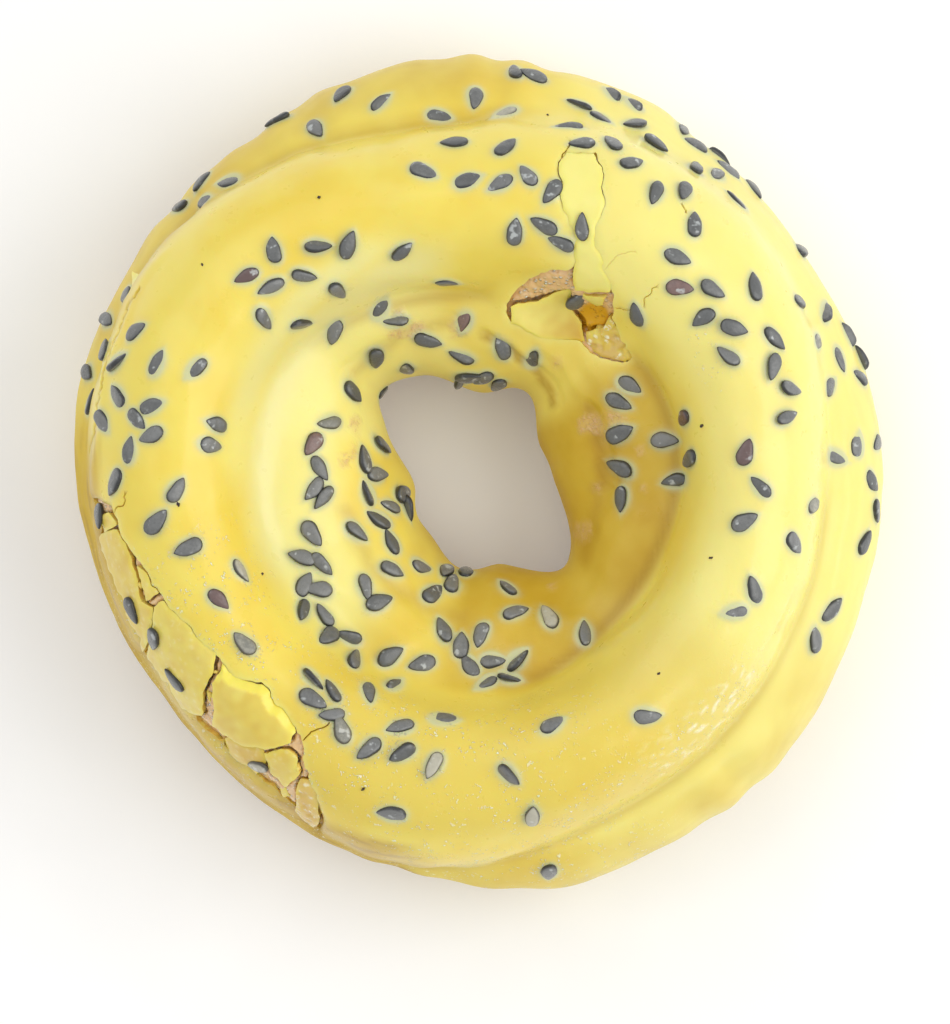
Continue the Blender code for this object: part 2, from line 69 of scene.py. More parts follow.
# Outlines seen from above, as (clock degrees, radius in mm).
RIM_OUTLINE: Pairs = (
    (0, 47.0), (20, 46.3), (40, 45.9), (70, 47.4), (97, 48.7), (130, 47.1), (150, 47.5), (170, 47.3),
    (190, 46.0), (215, 44.9), (240, 45.8), (258, 46.6), (275, 48.6), (310, 48.5), (340, 47.5),
)
HOLE_OUTLINE: Pairs = (
    (0, 8.2), (20, 7.5), (38, 8.3), (60, 10.1), (85, 9.1), (100, 9.5), (120, 12.7), (140, 14.6),
    (152, 11.7), (170, 8.7), (190, 7.6), (208, 7.8), (230, 8.8), (258, 10.5), (282, 10.5), (298, 12.4),
    (312, 14.3), (322, 13.4), (340, 10.7),
)
OUTER_CREASE: Pairs = (
    (0, 39.8), (30, 42.0), (60, 42.4), (95, 40.0), (120, 42.0), (150, 45.0), (180, 44.8),
    (220, 43.4), (262, 45.2), (290, 42.1), (330, 40.4),
)
INNER_CREASE: Pairs = (
    (0, 23.0), (30, 22.7), (60, 21.8), (90, 20.7), (120, 22.2), (150, 25.0), (175, 25.5),
    (220, 25.0), (280, 24.8), (310, 23.0), (335, 22.6),
)

# Outlines of the two breaks and of the loose pieces of coat in them, seen from above, in mm.
FLANK_BREAK: Pairs = (
    (-44.4, -2.8), (-41.7, -3.6), (-40.9, -6.1), (-39.7, -8.7), (-37.5, -11.4), (-36.0, -14.1),
    (-32.8, -17.3), (-29.7, -20.8), (-27.5, -23.2), (-24.4, -23.8), (-22.2, -26.9), (-19.8, -30.0),
    (-20.1, -31.5), (-19.0, -35.2), (-17.6, -39.6), (-18.2, -41.3), (-20.8, -38.8), (-24.2, -35.5),
    (-27.9, -32.6), (-32.0, -28.3), (-34.8, -25.0), (-37.9, -21.6), (-40.6, -14.3), (-43.0, -8.7),
)
SHOULDER_BREAK: Pairs = (
    (3.1, 18.3), (3.7, 19.6), (4.8, 21.4), (8.3, 22.8), (10.6, 23.1), (11.1, 26.3), (9.1, 31.6),
    (9.2, 35.2), (10.0, 36.4), (13.3, 36.4), (14.2, 33.9), (14.2, 30.9), (13.1, 26.3), (14.1, 22.0),
    (15.5, 19.8), (15.4, 17.7), (16.1, 15.4), (17.8, 13.1), (16.6, 12.6), (13.8, 13.4), (12.1, 14.4),
    (11.5, 15.0), (7.1, 15.3), (5.1, 16.4), (3.9, 17.0),
)

# Sesame lies in short arcs: (clock from, clock to, radius in mm, seeds, spread in mm).
SESAME_ON_RIM = (
    (350, 364, 45.6, 4, 0.5), (3, 5, 42.0, 2, 1.3), (14, 21, 45.6, 3, 0.4), (14, 28, 42.3, 5, 1.2),
    (35, 46, 45.4, 2, 0.3), (50, 59, 45.6, 4, 0.4), (47, 55, 43.3, 3, 0.7), (62, 75, 43.3, 4, 0.6),
    (67, 71, 46.0, 2, 0.2), (82, 85, 46.2, 2, 0.2), (86, 96, 41.8, 3, 1.2), (104, 120, 45.2, 4, 1.6),
    (131, 138, 45.2, 4, 1.2), (153, 170, 45.7, 5, 0.7), (158, 172, 42.3, 4, 0.6), (182, 187, 42.0, 2, 1.5),
    (279, 281, 46.4, 1, 0.0), (334, 339, 43.1, 2, 0.2),
)
SESAME_ON_CROWN = (
    (10, 24, 36.1, 4, 0.7), (25, 47, 32.3, 6, 1.4), (33, 34, 33.5, 2, 4.6), (350, 364, 31.2, 3, 1.0),
    (347, 355, 37.3, 2, 1.0), (331, 337, 33.4, 2, 0.5), (49, 58, 38.3, 3, 1.1), (64, 76, 39.8, 4, 0.8),
    (64, 66, 34.6, 1, 0.0), (75, 86, 33.4, 3, 1.0), (85, 94, 37.3, 2, 0.3), (70, 81, 28.3, 3, 1.0),
    (92, 100, 33.8, 2, 0.8), (108, 109, 26.6, 1, 0.0), (119, 144, 30.5, 5, 0.9), (132, 140, 34.2, 2, 0.1),
    (127, 140, 26.2, 2, 0.1), (160, 162, 35.6, 3, 2.6), (168, 176, 38.2, 4, 1.1), (169, 174, 30.3, 2, 0.2),
    (183, 194, 35.5, 3, 1.6), (202, 206, 31.2, 2, 2.0), (216, 223, 33.5, 2, 1.0), (231, 239, 30.9, 4, 1.2),
    (242, 261, 33.2, 4, 0.4), (244, 262, 29.0, 3, 1.2), (255, 257, 39.7, 1, 0.0), (276, 279, 36.9, 2, 3.4),
    (286, 287, 29.7, 1, 0.0), (304, 305, 33.4, 1, 0.0),
)
SESAME_IN_FUNNEL = (
    (213, 236, 24.5, 6, 1.1), (245, 253, 24.6, 3, 1.8), (200, 216, 21.4, 4, 1.3), (268, 282, 22.8, 5, 1.2),
    (258, 278, 19.1, 4, 0.8), (284, 285, 15.2, 2, 1.7), (296, 304, 20.2, 2, 1.7), (225, 232, 18.4, 2, 0.1),
    (181, 189, 18.4, 3, 0.8), (161, 178, 18.6, 3, 0.6), (164, 190, 12.3, 4, 0.8), (205, 208, 13.8, 4, 1.5),
    (196, 206, 9.8, 3, 1.0), (218, 249, 13.6, 4, 1.4), (252, 263, 12.4, 3, 0.9), (111, 119, 18.2, 2, 1.7),
    (124, 147, 16.2, 4, 1.4), (95, 101, 12.4, 3, 1.8), (95, 99, 19.5, 2, 2.4), (120, 135, 22.6, 2, 0.5),
    (78, 87, 10.8, 2, 0.3), (64, 80, 15.6, 3, 1.2), (27, 30, 19.2, 2, 1.3), (2, 16, 16.5, 2, 0.4),
    (359, 375, 23.1, 4, 1.5), (350, 358, 19.6, 2, 3.2), (44, 45, 25.5, 1, 0.0), (81, 82, 20.9, 1, 0.0),
)
SESAME_ODD_KINDS = {
    "plum": ((46.5, 30.8), (139.5, 34.2), (172, 19.2), (202.5, 33.2), (5, 31.1), (98, 19.5), (12, 23.4)),
    "frosted": (
        (86.5, 41.7), (160.5, 18.6), (206, 29.2), (216, 34.5), (233, 41.6), (242.5, 32.8), (261, 33.7),
        (276, 40.3), (303.5, 18.4), (355, 38.3), (19.5, 40.4)),
}
# Seeds in the breaks: (clock, radius in mm).
SESAME_ON_PIECES = (
    (186.5, 43.3), (201.6, 42.2), (207.1, 41.3), (214.2, 41.6), (233.0, 41.6), (67.0, 30.2), (60.4, 22.7))


def srgb(red: int, green: int, blue: int) -> Colour:
    """Linear colour of an 8-bit display colour."""
    parts = (red / 255.0, green / 255.0, blue / 255.0)
    return tuple(part / 12.92 if part <= 0.04045 else ((part + 0.055) / 1.055) ** 2.4 for part in parts)


def smooth_max(first: Array, second: Array, blend: Array) -> Array:
    """The larger of two lengths, with a fillet where they are alike."""
    share = np.clip(0.5 + 0.5 * (first - second) / blend, 0.0, 1.0)
    return second + (first - second) * share + blend * share * (1.0 - share)


def ease(value: Array, low: float, high: float) -> Array:
    """Smooth step from 0 at low to 1 at high, which may be the smaller of the two."""
    share = np.clip((value - low) / (high - low), 0.0, 1.0)
    return share * share * (3.0 - 2.0 * share)


def arc_window(clock: Array, start: float, end: float, soft: float) -> Array:
    """1 between two clock angles, fading to 0 over soft degrees beyond them."""
    middle = (start + end) / 2.0
    away = np.abs(np.mod(clock - middle + 180.0, 360.0) - 180.0) - abs(end - start) / 2.0
    return 1.0 - ease(away, 0.0, soft)


def bell(value: Array, width: float, power: float = 2.0) -> Array:
    """1 where a value is 0, falling off over a width."""
    return np.exp(-(np.abs(value) / width) ** power)


def strongest(clock: Array, zones: tuple[tuple[float, float, float, float, Array], ...]) -> Array:
    """The strongest of several zones of the ring at each point.

    Args:
        clock: clock angles of the points.
        zones: strength, first and last clock angle, softness in degrees, and shape across the ring of each.

    Returns:
        Values from 0 to 1.
    """
    return np.max([
        strength * arc_window(clock, start, end, soft) * shape
        for strength, start, end, soft, shape in zones], axis=0)


def plan_spot(clock: float, radius: float) -> tuple[float, float]:
    """X and y of a place given by its clock angle and radius."""
    return radius * math.cos(math.radians(clock)), radius * math.sin(math.radians(clock))


def plan_polar(points: Array) -> tuple[Array, Array]:
    """Clock angles and radii of points seen from above."""
    return np.degrees(np.arctan2(points[:, 1], points[:, 0])), np.hypot(points[:, 0], points[:, 1])


def away_from(points: Array, spot: tuple[float, float]) -> Array:
    """Distance of points from a spot in mm, seen from above."""
    return np.hypot(points[:, 0] - spot[0], points[:, 1] - spot[1])


def search_tree(points: list | Array) -> KDTree:
    """A tree that finds the nearest of several points.

    Args:
        points: the points, with three coordinates each.

    Returns:
        The tree, which gives a point's place in the list.
    """
    tree = KDTree(len(points))
    for index, point in enumerate(points):
        tree.insert(Vector(point), index)
    tree.balance()
    return tree


@dataclass(frozen=True)
class Undulation:
    """Seeded smooth noise of unit strength: a sum of plane waves over points in mm.

    Args:
        seed: number that fixes the waves.
        wavelength: typical distance between crests in mm.
        waves: how many waves are summed.
    """

    seed: int
    wavelength: float
    waves: int = 20

    def at(self, points: Array) -> Array:
        """Noise values at an array of points.

        Args:
            points: places, one a row.

        Returns:
            One value a point.
        """
        draw = np.random.default_rng(self.seed)
        total = np.zeros(len(points))
        for _ in range(self.waves):
            direction = draw.normal(size=points.shape[1])
            direction /= np.linalg.norm(direction)
            length = self.wavelength * draw.uniform(0.7, 1.6)
            total += np.sin(points @ direction * (math.tau / length) + draw.uniform(0.0, math.tau))
        return total / math.sqrt(self.waves / 2.0)


@dataclass(frozen=True)
class RingCurve:
    """A closed smooth curve round the ring, through a few (clock, value) stations."""

    stations: Pairs

    def at(self, clock: Array) -> Array:
        """Values of the curve at clock angles.

        Args:
            clock: clock angles.

        Returns:
            The values there.
        """
        angles = np.array([angle for angle, _ in self.stations], dtype=float)
        values = np.array([value for _, value in self.stations], dtype=float)
        clock = np.mod(clock, 360.0)
        right = np.searchsorted(angles, clock, side="right")

        def pick(step: int) -> tuple[Array, Array]:
            """Angle and value of the station a few steps on."""
            turns, place = np.divmod(right + step, len(angles))
            return angles[place] + 360.0 * turns, values[place]

        (angle_0, value_0), (angle_1, value_1), (angle_2, value_2), (angle_3, value_3) = (
            pick(step) for step in (-2, -1, 0, 1))
        span = angle_2 - angle_1
        t = (clock - angle_1) / span
        slope_1 = (value_2 - value_0) / (angle_2 - angle_0) * span
        slope_2 = (value_3 - value_1) / (angle_3 - angle_1) * span
        lean = t * (1.0 - t) * ((1.0 - t) * slope_1 - t * slope_2)
        return value_1 + (value_2 - value_1) * t * t * (3.0 - 2.0 * t) + lean


@dataclass(frozen=True)
class Fold:
    """A ridge or groove that runs along an arc of the skin.

    Args:
        start: clock angle where it begins.
        end: clock angle where it ends.
        radius: plan radius at its start in mm.
        end_radius: plan radius at its end in mm.
        height: height in mm, negative for a groove.
        width: half width in mm.
        wander: how far it strays sideways in mm.
        fade: degrees over which it dies out beyond its ends.
    """

    start: float
    end: float
    radius: float
    end_radius: float
    height: float
    width: float
    wander: float = 0.3
    fade: float = 6.0

    def at(self, clock: Array, radius: Array) -> Array:
        """Height that the fold adds at places on top of the ring.

        Args:
            clock: clock angles.
            radius: plan radii in mm.

        Returns:
            Heights in mm.
        """
        along = np.mod(clock - self.start + 180.0, 360.0) - 180.0
        share = np.clip(along / (self.end - self.start), 0.0, 1.0)
        line = self.radius + (self.end_radius - self.radius) * share
        line = line + self.wander * np.sin(along * 0.31 + self.radius) * np.cos(along * 0.13)
        fade = arc_window(clock, self.start, self.end, self.fade)
        return self.height * fade * bell(radius - line, self.width)


@dataclass(frozen=True)
class RingForm:
    """The outside of the coat: a narrow upper bun on a wider lower one, with creases and lumps."""

    rim: RingCurve = RingCurve(RIM_OUTLINE)
    hole: RingCurve = RingCurve(HOLE_OUTLINE)
    outer_crease: RingCurve = RingCurve(OUTER_CREASE)
    inner_crease: RingCurve = RingCurve(INNER_CREASE)
    lower_half_height: float = 14.0
    lower_centre_z: float = 11.0
    upper_half_height: float = 14.0
    upper_centre_z: float = 19.6
    upper_fullness: float = 1.04
    core_z: float = 17.0
    core_shift: float = 1.5
    sharp_blend: float = 0.7
    soft_blend: float = 4.5
    base_blend: float = 2.0
    crown_wave: float = 0.5
    funnel_lump: float = 0.45
    ripple: float = 0.28
    ripples: int = 37
    margin: float = 0.36
    slope_step: float = 0.35
    folds: tuple[Fold, ...] = (
        Fold(318, 337, 39.0, 39.3, -0.30, 0.55),
        Fold(337, 366, 43.6, 43.0, -0.32, 0.50),
        Fold(282, 312, 44.6, 44.4, -0.18, 0.60),
        Fold(-4, 30, 14.0, 14.6, -0.55, 0.75),
        Fold(44, 86, 12.0, 15.6, -0.65, 0.60),
        Fold(40, 74, 14.4, 18.0, 0.35, 0.90),
        Fold(322, 352, 15.5, 13.5, -0.35, 0.80),
        Fold(20, 62, 18.2, 17.4, 0.28, 1.10),
        Fold(300, 345, 18.8, 18.0, 0.25, 1.10),
        Fold(96, 140, 17.4, 18.4, -0.30, 0.70),
        Fold(196, 262, 15.6, 16.4, -0.28, 0.90),
        Fold(205, 248, 20.6, 20.2, 0.20, 1.00),
        Fold(148, 178, 44.2, 44.0, 0.30, 0.45, 0.5),
    )

    def core(self, clock: Array) -> Array:
        """Radius of the core point that the cross-section is drawn about."""
        return (self.rim.at(clock) + self.hole.at(clock)) / 2.0 + self.core_shift

    @staticmethod
    def ellipse_reach(offset: tuple[Array, float], half: tuple[Array, float],
                      direction: tuple[Array, Array]) -> Array:
        """Distance from a point inside an ellipse to its edge.

        Args:
            offset: the point's place from the ellipse's centre, outwards and upwards.
            half: half width and half height.
            direction: unit direction, outwards and upwards.

        Returns:
            The distance along the direction.
        """
        square = (direction[0] / half[0]) ** 2 + (direction[1] / half[1]) ** 2
        cross = offset[0] * direction[0] / half[0] ** 2 + offset[1] * direction[1] / half[1] ** 2
        inside = 1.0 - (offset[0] / half[0]) ** 2 - (offset[1] / half[1]) ** 2
        return (np.sqrt(cross * cross + square * inside) - cross) / square

    def blend(self, clock: Array, turn: Array) -> Array:
        """How softly the two buns join: the creases fade out along parts of the ring.

        Args:
            clock, turn: clock and turn angles.

        Returns:
            Fillet sizes in mm.
        """
        outer_fade = np.maximum(arc_window(clock, 30, 74, 22.0), arc_window(clock, 186, 252, 12.0))
        inner_fade = np.maximum(arc_window(clock, 158, 272, 22.0), arc_window(clock, 44, 78, 14.0))
        fade = np.where(turn < 90.0, outer_fade, inner_fade)
        return self.sharp_blend + (self.soft_blend - self.sharp_blend) * fade

    def bare_reach(self, clock: Array, turn: Array) -> Array:
        """Reach of the two joined buns from the core point, without relief.

        Args:
            clock, turn: clock and turn angles.

        Returns:
            Reaches in mm.
        """
        rim, hole, outer, inner = (
            curve.at(clock) for curve in (self.rim, self.hole, self.outer_crease, self.inner_crease))
        core = (rim + hole) / 2.0 + self.core_shift
        direction = (np.cos(np.radians(turn)), np.sin(np.radians(turn)))
        lower = self.ellipse_reach(
            (core - (rim + hole) / 2.0, self.core_z - self.lower_centre_z),
            ((rim - hole) / 2.0, self.lower_half_height), direction)
        upper = self.ellipse_reach(
            (core - (outer + inner) / 2.0, self.core_z - self.upper_centre_z),
            ((outer - inner) / 2.0 * self.upper_fullness, self.upper_half_height), direction)
        return smooth_max(lower, upper, self.blend(clock, turn))

    def relief(self, clock: Array, turn: Array, radius: Array) -> Array:
        """Unevenness of the skin in mm: crown waves, funnel lumps, folds and rim ripples.

        Args:
            clock, turn: clock and turn angles.
            radius: plan radii in mm.

        Returns:
            Heights in mm, to be added to the reach.
        """
        angle = np.radians(clock)
        section = np.radians(turn)
        up = np.maximum(np.sin(section), 0.0)
        into_hole = np.maximum(-np.cos(section), 0.0)
        crown = np.sin(2.0 * angle) + 0.5 * np.sin(5.0 * angle + 2.0)
        lumps = np.sin(7.0 * angle + 2.9 * section) * np.cos(3.4 * section)
        total = self.crown_wave * up * crown + self.funnel_lump * into_hole * lumps
        on_top = ease(np.sin(section), -0.15, 0.25)
        for fold in self.folds:
            total = total + fold.at(clock, radius) * on_top
        flank = ease(turn, -46.0, -20.0) * (1.0 - ease(turn, 8.0, 34.0))
        rippled = np.maximum(arc_window(clock, 62, 150, 20.0), arc_window(clock, 264, 318, 14.0))
        uneven = 2.2 * np.sin(3.0 * angle + 0.4) + 1.5 * np.sin(8.0 * angle + 1.0)
        strength = 0.62 + 0.38 * np.sin(13.0 * angle + 0.7)
        wave = np.sin(self.ripples * angle + uneven + 0.6 * section)
        return total + self.ripple * flank * (0.12 + 0.88 * rippled) * strength * wave

    def reach(self, clock: Array, turn: Array) -> Array:
        """Reach of the skin from the core point in mm.

        Args:
            clock, turn: clock and turn angles.

        Returns:
            Reaches in mm, cut off at the floor.
        """
        bare = self.bare_reach(clock, turn)
        radius = self.core(clock) + bare * np.cos(np.radians(turn))
        reach = bare + self.relief(clock, turn, radius) - self.margin
        down = np.maximum(-np.sin(np.radians(turn)), 1e-6)
        to_floor = self.core_z / down
        floored = -smooth_max(-reach, -to_floor, np.full_like(reach, self.base_blend))
        return np.where(np.sin(np.radians(turn)) < 0.0, floored, reach)

    def place(self, clock: Array, turn: Array, reach: Array) -> Array:
        """Points at a reach from the core point, as an (n, 3) array.

        Args:
            clock, turn: clock and turn angles.
            reach: reaches in mm.

        Returns:
            Points in mm.
        """
        radius = self.core(clock) + reach * np.cos(np.radians(turn))
        height = self.core_z + reach * np.sin(np.radians(turn))
        angle = np.radians(clock)
        return np.stack((radius * np.cos(angle), radius * np.sin(angle), height), axis=-1)

    def skin(self, clock: Array, turn: Array, inset: Array | float = 0.0) -> Array:
        """Points on the skin, or a little under it."""
        return self.place(clock, turn, self.reach(clock, turn) - inset)

    def polar(self, points: Array) -> tuple[Array, Array]:
        """Clock and turn angles under which points are seen from the core."""
        clock, radius = plan_polar(points)
        turn = np.degrees(np.arctan2(points[:, 2] - self.core_z, radius - self.core(clock)))
        return np.mod(clock, 360.0), np.where(turn < -90.0, turn + 360.0, turn)

    def normals(self, clock: Array, turn: Array) -> Array:
        """Outward unit normals of the skin.

        Args:
            clock, turn: clock and turn angles.

        Returns:
            One normal a row.
        """
        step = self.slope_step
        along = self.skin(clock + step, turn) - self.skin(clock - step, turn)
        across = self.skin(clock, turn + step) - self.skin(clock, turn - step)
        normal = np.cross(along, across)
        return normal / np.linalg.norm(normal, axis=1, keepdims=True)

    def turn_under(self, clock: Array, radius: Array) -> Array:
        """Turn angle of the highest skin point at a plan radius.

        Args:
            clock: clock angles.
            radius: plan radii in mm.

        Returns:
            Turn angles, held at the silhouette for radii beyond it.
        """
        steps = np.linspace(-14.0, 204.0, 330)
        clocks = np.repeat(clock[:, None], len(steps), axis=1).ravel()
        turns = np.tile(steps, len(clock))
        points = self.skin(clocks, turns)
        plan = np.hypot(points[:, 0], points[:, 1]).reshape(len(clock), -1)
        height = points[:, 2].reshape(len(clock), -1)
        gap = plan - radius[:, None]
        crossing = gap[:, :-1] * gap[:, 1:] <= 0.0
        best = np.where(crossing, height[:, :-1], -1.0).argmax(axis=1)
        missed = ~crossing.any(axis=1)
        best = np.where(missed, np.abs(gap[:, :-1]).argmin(axis=1), best)
        row = np.arange(len(clock))
        before, after = gap[row, best], gap[row, best + 1]
        share = np.where(missed, 0.0, before / np.where(before == after, 1.0, before - after))
        return steps[best] + share * (steps[1] - steps[0])


class SkinChart:
    """A flat chart of the skin that keeps angles: clock in radians across, and a height for the turn."""

    def __init__(self, form: RingForm, first: float, last: float) -> None:
        """Measure the mean section between two turn angles.

        Args:
            form: the ring's form.
            first: turn angle at the chart's lower edge.
            last: turn angle at its upper edge.
        """
        self.form = form
        self.turns = np.linspace(first, last, 700)
        clocks = np.arange(0.0, 360.0, 15.0)
        points = form.skin(np.repeat(clocks, len(self.turns)), np.tile(self.turns, len(clocks)))
        plan = np.hypot(points[:, 0], points[:, 1]).reshape(len(clocks), -1).mean(axis=0)
        height = points[:, 2].reshape(len(clocks), -1).mean(axis=0)
        step = np.hypot(np.diff(plan), np.diff(height)) / ((plan[1:] + plan[:-1]) / 2.0)
        self.radii = plan
        self.heights = np.concatenate(([0.0], np.cumsum(step)))

    def turn(self, height: Array) -> Array:
        """Turn angles at chart heights."""
        return np.interp(height, self.heights, self.turns)

    def radius(self, height: Array) -> Array:
        """Mean plan radius at chart heights, which is the chart's scale there in mm per radian."""
        return np.interp(height, self.heights, self.radii)

    def from_angles(self, clock: Array, turn: Array) -> Array:
        """Chart points of clock and turn angles."""
        return np.stack((np.radians(np.mod(clock, 360.0)), np.interp(turn, self.turns, self.heights)), axis=-1)

    def from_plan(self, plan: Array) -> Array:
        """Chart points of places seen from above, in mm."""
        clock, radius = plan_polar(plan)
        return self.from_angles(clock, self.form.turn_under(clock, radius))

    def to_angles(self, chart: Array) -> tuple[Array, Array]:
        """Clock and turn angles of chart points."""
        return np.degrees(chart[:, 0]), self.turn(chart[:, 1])

    def lattice(self, low: Array, high: Array, spacing: float) -> Array:
        """Staggered chart points a spacing in mm apart, between two corners of the chart.

        Args:
            low: lower corner.
            high: upper corner.
            spacing: distance in mm.

        Returns:
            Chart points.
        """
        rows = []
        height = low[1]
        odd = False
        while height < high[1]:
            pitch = spacing / float(self.radius(np.array([height]))[0])
            start = low[0] + (0.25 if odd else 0.75) * pitch
            across = np.arange(start, high[0] - 0.2 * pitch, pitch)
            rows.append(np.stack((across, np.full_like(across, height)), axis=-1))
            height += pitch * 0.87
            odd = not odd
        return np.concatenate(rows)

    def clear_of(self, points: Array, others: Array, distance: float) -> Array:
        """Chart points that are more than a distance in mm from other chart points.

        Args:
            points: chart points.
            others: the chart points to keep away from.
            distance: distance in mm.

        Returns:
            The points that are kept.
        """
        tree = search_tree([(x, y, 0.0) for x, y in others])
        away = np.array([tree.find(Vector((x, y, 0.0)))[2] for x, y in points])
        return points[away * self.radius(points[:, 1]) > distance]


def inside(points: Array, outline: Array) -> Array:
    """Whether flat points lie inside a closed outline.

    Args:
        points: flat points.
        outline: the outline's corners.

    Returns:
        One truth value a point.
    """
    found = np.zeros(len(points), dtype=bool)
    for (x0, y0), (x1, y1) in zip(np.roll(outline, 1, axis=0), outline):
        if y0 == y1:
            continue
        crosses = (y0 > points[:, 1]) != (y1 > points[:, 1])
        found ^= crosses & (points[:, 0] < x0 + (points[:, 1] - y0) / (y1 - y0) * (x1 - x0))
    return found


def outline_distance(points: Array, outline: Array) -> Array:
    """Distance of flat points to a closed outline, negative inside it."""
    nearest = path_distance(points, np.concatenate((outline[-1:], outline)))
    return np.where(inside(points, outline), -nearest, nearest)


def path_distance(points: Array, path: Array) -> Array:
    """Distance of flat points to an open path.

    Args:
        points: flat points.
        path: the path's corners.

    Returns:
        One distance a point.
    """
    nearest = np.full(len(points), np.inf)
    for start, end in zip(path[:-1], path[1:]):
        run = end - start
        share = np.clip((points - start) @ run / (run @ run), 0.0, 1.0)
        nearest = np.minimum(nearest, np.linalg.norm(points - start - share[:, None] * run, axis=1))
    return nearest


@dataclass(frozen=True)
class HairCrack:
    """A fine crack in the coat, seen from above.

    Args:
        path: its corners in mm.
        depth: depth in mm.
        half_width: half width at the surface in mm.
        stain: how brown it is, from 0 to 1.
    """

    path: Pairs
    depth: float = 0.30
    half_width: float = 0.10
    stain: float = 0.8

    def line(self) -> Array:
        """Closely spaced points along the crack, which wanders a little."""
        corners = np.array(self.path, dtype=float)
        pieces = [
            start + (end - start) * np.linspace(0.0, 1.0, max(2, int(np.linalg.norm(end - start) / 0.14)))[:, None]
            for start, end in zip(corners[:-1], corners[1:])]
        points = np.concatenate(pieces)
        points = points[np.concatenate(([True], np.linalg.norm(np.diff(points, axis=0), axis=1) > 1e-6))]
        sway = np.stack((Undulation(8, 1.2).at(points), Undulation(9, 1.2).at(points)), axis=-1)
        return points + 0.09 * sway

    def points(self) -> Array:
        """Points on the crack and beside it, for the coat's mesh."""
        line = self.line()
        run = np.gradient(line, axis=0)
        run /= np.linalg.norm(run, axis=1, keepdims=True)
        aside = np.stack((-run[:, 1], run[:, 0]), axis=-1)
        return np.concatenate([
            line + aside * self.half_width * share for share in (-3.0, -1.0, 0.0, 1.0, 3.0)])

    def opening(self, plan: Array) -> Array:
        """How open the crack is, from 0 to 1, at places seen from above.

        Args:
            plan: places in mm.

        Returns:
            One value a place.
        """
        line = self.line()
        near = np.all((plan > line.min(axis=0) - 0.5) & (plan < line.max(axis=0) + 0.5), axis=1)
        share = np.zeros(len(plan))
        share[near] = np.clip(1.0 - path_distance(plan[near], line) / self.half_width, 0.0, 1.0)
        return share


HAIR_CRACKS: tuple[HairCrack, ...] = (
    HairCrack(((20.0, 21.0), (18.9, 19.7), (18.6, 19.1)), 0.2, 0.09, 0.45),
    HairCrack(((17.4, 18.6), (16.6, 18.5), (15.7, 18.8)), 0.2, 0.09, 0.5),
    HairCrack(((23.2, 30.5), (23.6, 29.4))),
    HairCrack(((9.5, 35.6), (9.9, 36.4), (10.4, 37.6))),
    HairCrack(((-19.6, -30.2), (-18.9, -29.3), (-17.6, -28.8), (-16.9, -28.2))),
    HairCrack(((-41.2, -4.2), (-40.3, -3.6), (-39.9, -2.4)), 0.2),
    HairCrack(((14.6, 23.4), (15.9, 24.6), (17.6, 24.9)), 0.08, 0.10, 0.3),
    HairCrack((
        (-38.9, 20.8), (-40.05, 19.5), (-41.4, 16.0), (-42.2, 13.0), (-42.9, 9.2), (-43.5, 6.3),
        (-43.7, 4.6), (-44.6, 2.7)), 0.28, 0.15, 0.7),
)


@dataclass(frozen=True)
class Fracture:
    """How broken edges of the coat wander: one warp of the plan, so that both sides of a crack match."""

    step: float = 0.28
    amplitude: float = 0.11
    east: tuple[Undulation, ...] = (Undulation(3, 3.2), Undulation(4, 1.1))
    north: tuple[Undulation, ...] = (Undulation(5, 3.0), Undulation(6, 1.2))

    def edge(self, outline: Pairs, inset: float = 0.0) -> Array:
        """A closed ragged outline in mm.

        Args:
            outline: corners in mm.
            inset: how far it is drawn in, in mm.

        Returns:
            The outline's points, a step apart.
        """
        corners = np.array(outline, dtype=float)
        following = np.roll(corners, -1, axis=0)
        turned = np.sum(corners[:, 0] * following[:, 1] - following[:, 0] * corners[:, 1])
        points = []
        for start, end in zip(corners, following):
            count = max(2, int(np.linalg.norm(end - start) / self.step))
            shares = np.arange(count)[:, None] / count
            points.append(start + (end - start) * shares)
        ring = np.concatenate(points)
        run = np.roll(ring, -1, axis=0) - np.roll(ring, 1, axis=0)
        run /= np.linalg.norm(run, axis=1, keepdims=True)
        ring = ring + np.stack((-run[:, 1], run[:, 0]), axis=-1) * inset * np.sign(turned)
        strays = [
            sum(noise.at(ring) * self.amplitude / (1 + 1.2 * rank) for rank, noise in enumerate(side))
            for side in (self.east, self.north)]
        return ring + np.stack(strays, axis=-1)


class SesameKind(Enum):
    """Kinds of sesame seed, by the look of their skin."""

    SLATE = "slate"
    PLUM = "plum"
    FROSTED = "frosted"


@dataclass(frozen=True)
class Seed:
    """One sesame seed lying on the coat. Lengths are in mm.

    Args:
        place: centre of the seed's footprint.
        along: unit direction from its round end to its tip.
        across: unit direction across it.
        normal: unit direction out of the coat.
        scale: size beside a seed of plain size.
        kind: look of its skin.
        on_coat: whether the unbroken coat holds it.
        roll: turn about its length in radians, which is large for a seed lying on its edge.
    """

    place: Array
    along: Array
    across: Array
    normal: Array
    scale: float
    kind: SesameKind
    on_coat: bool
    roll: float = 0.0


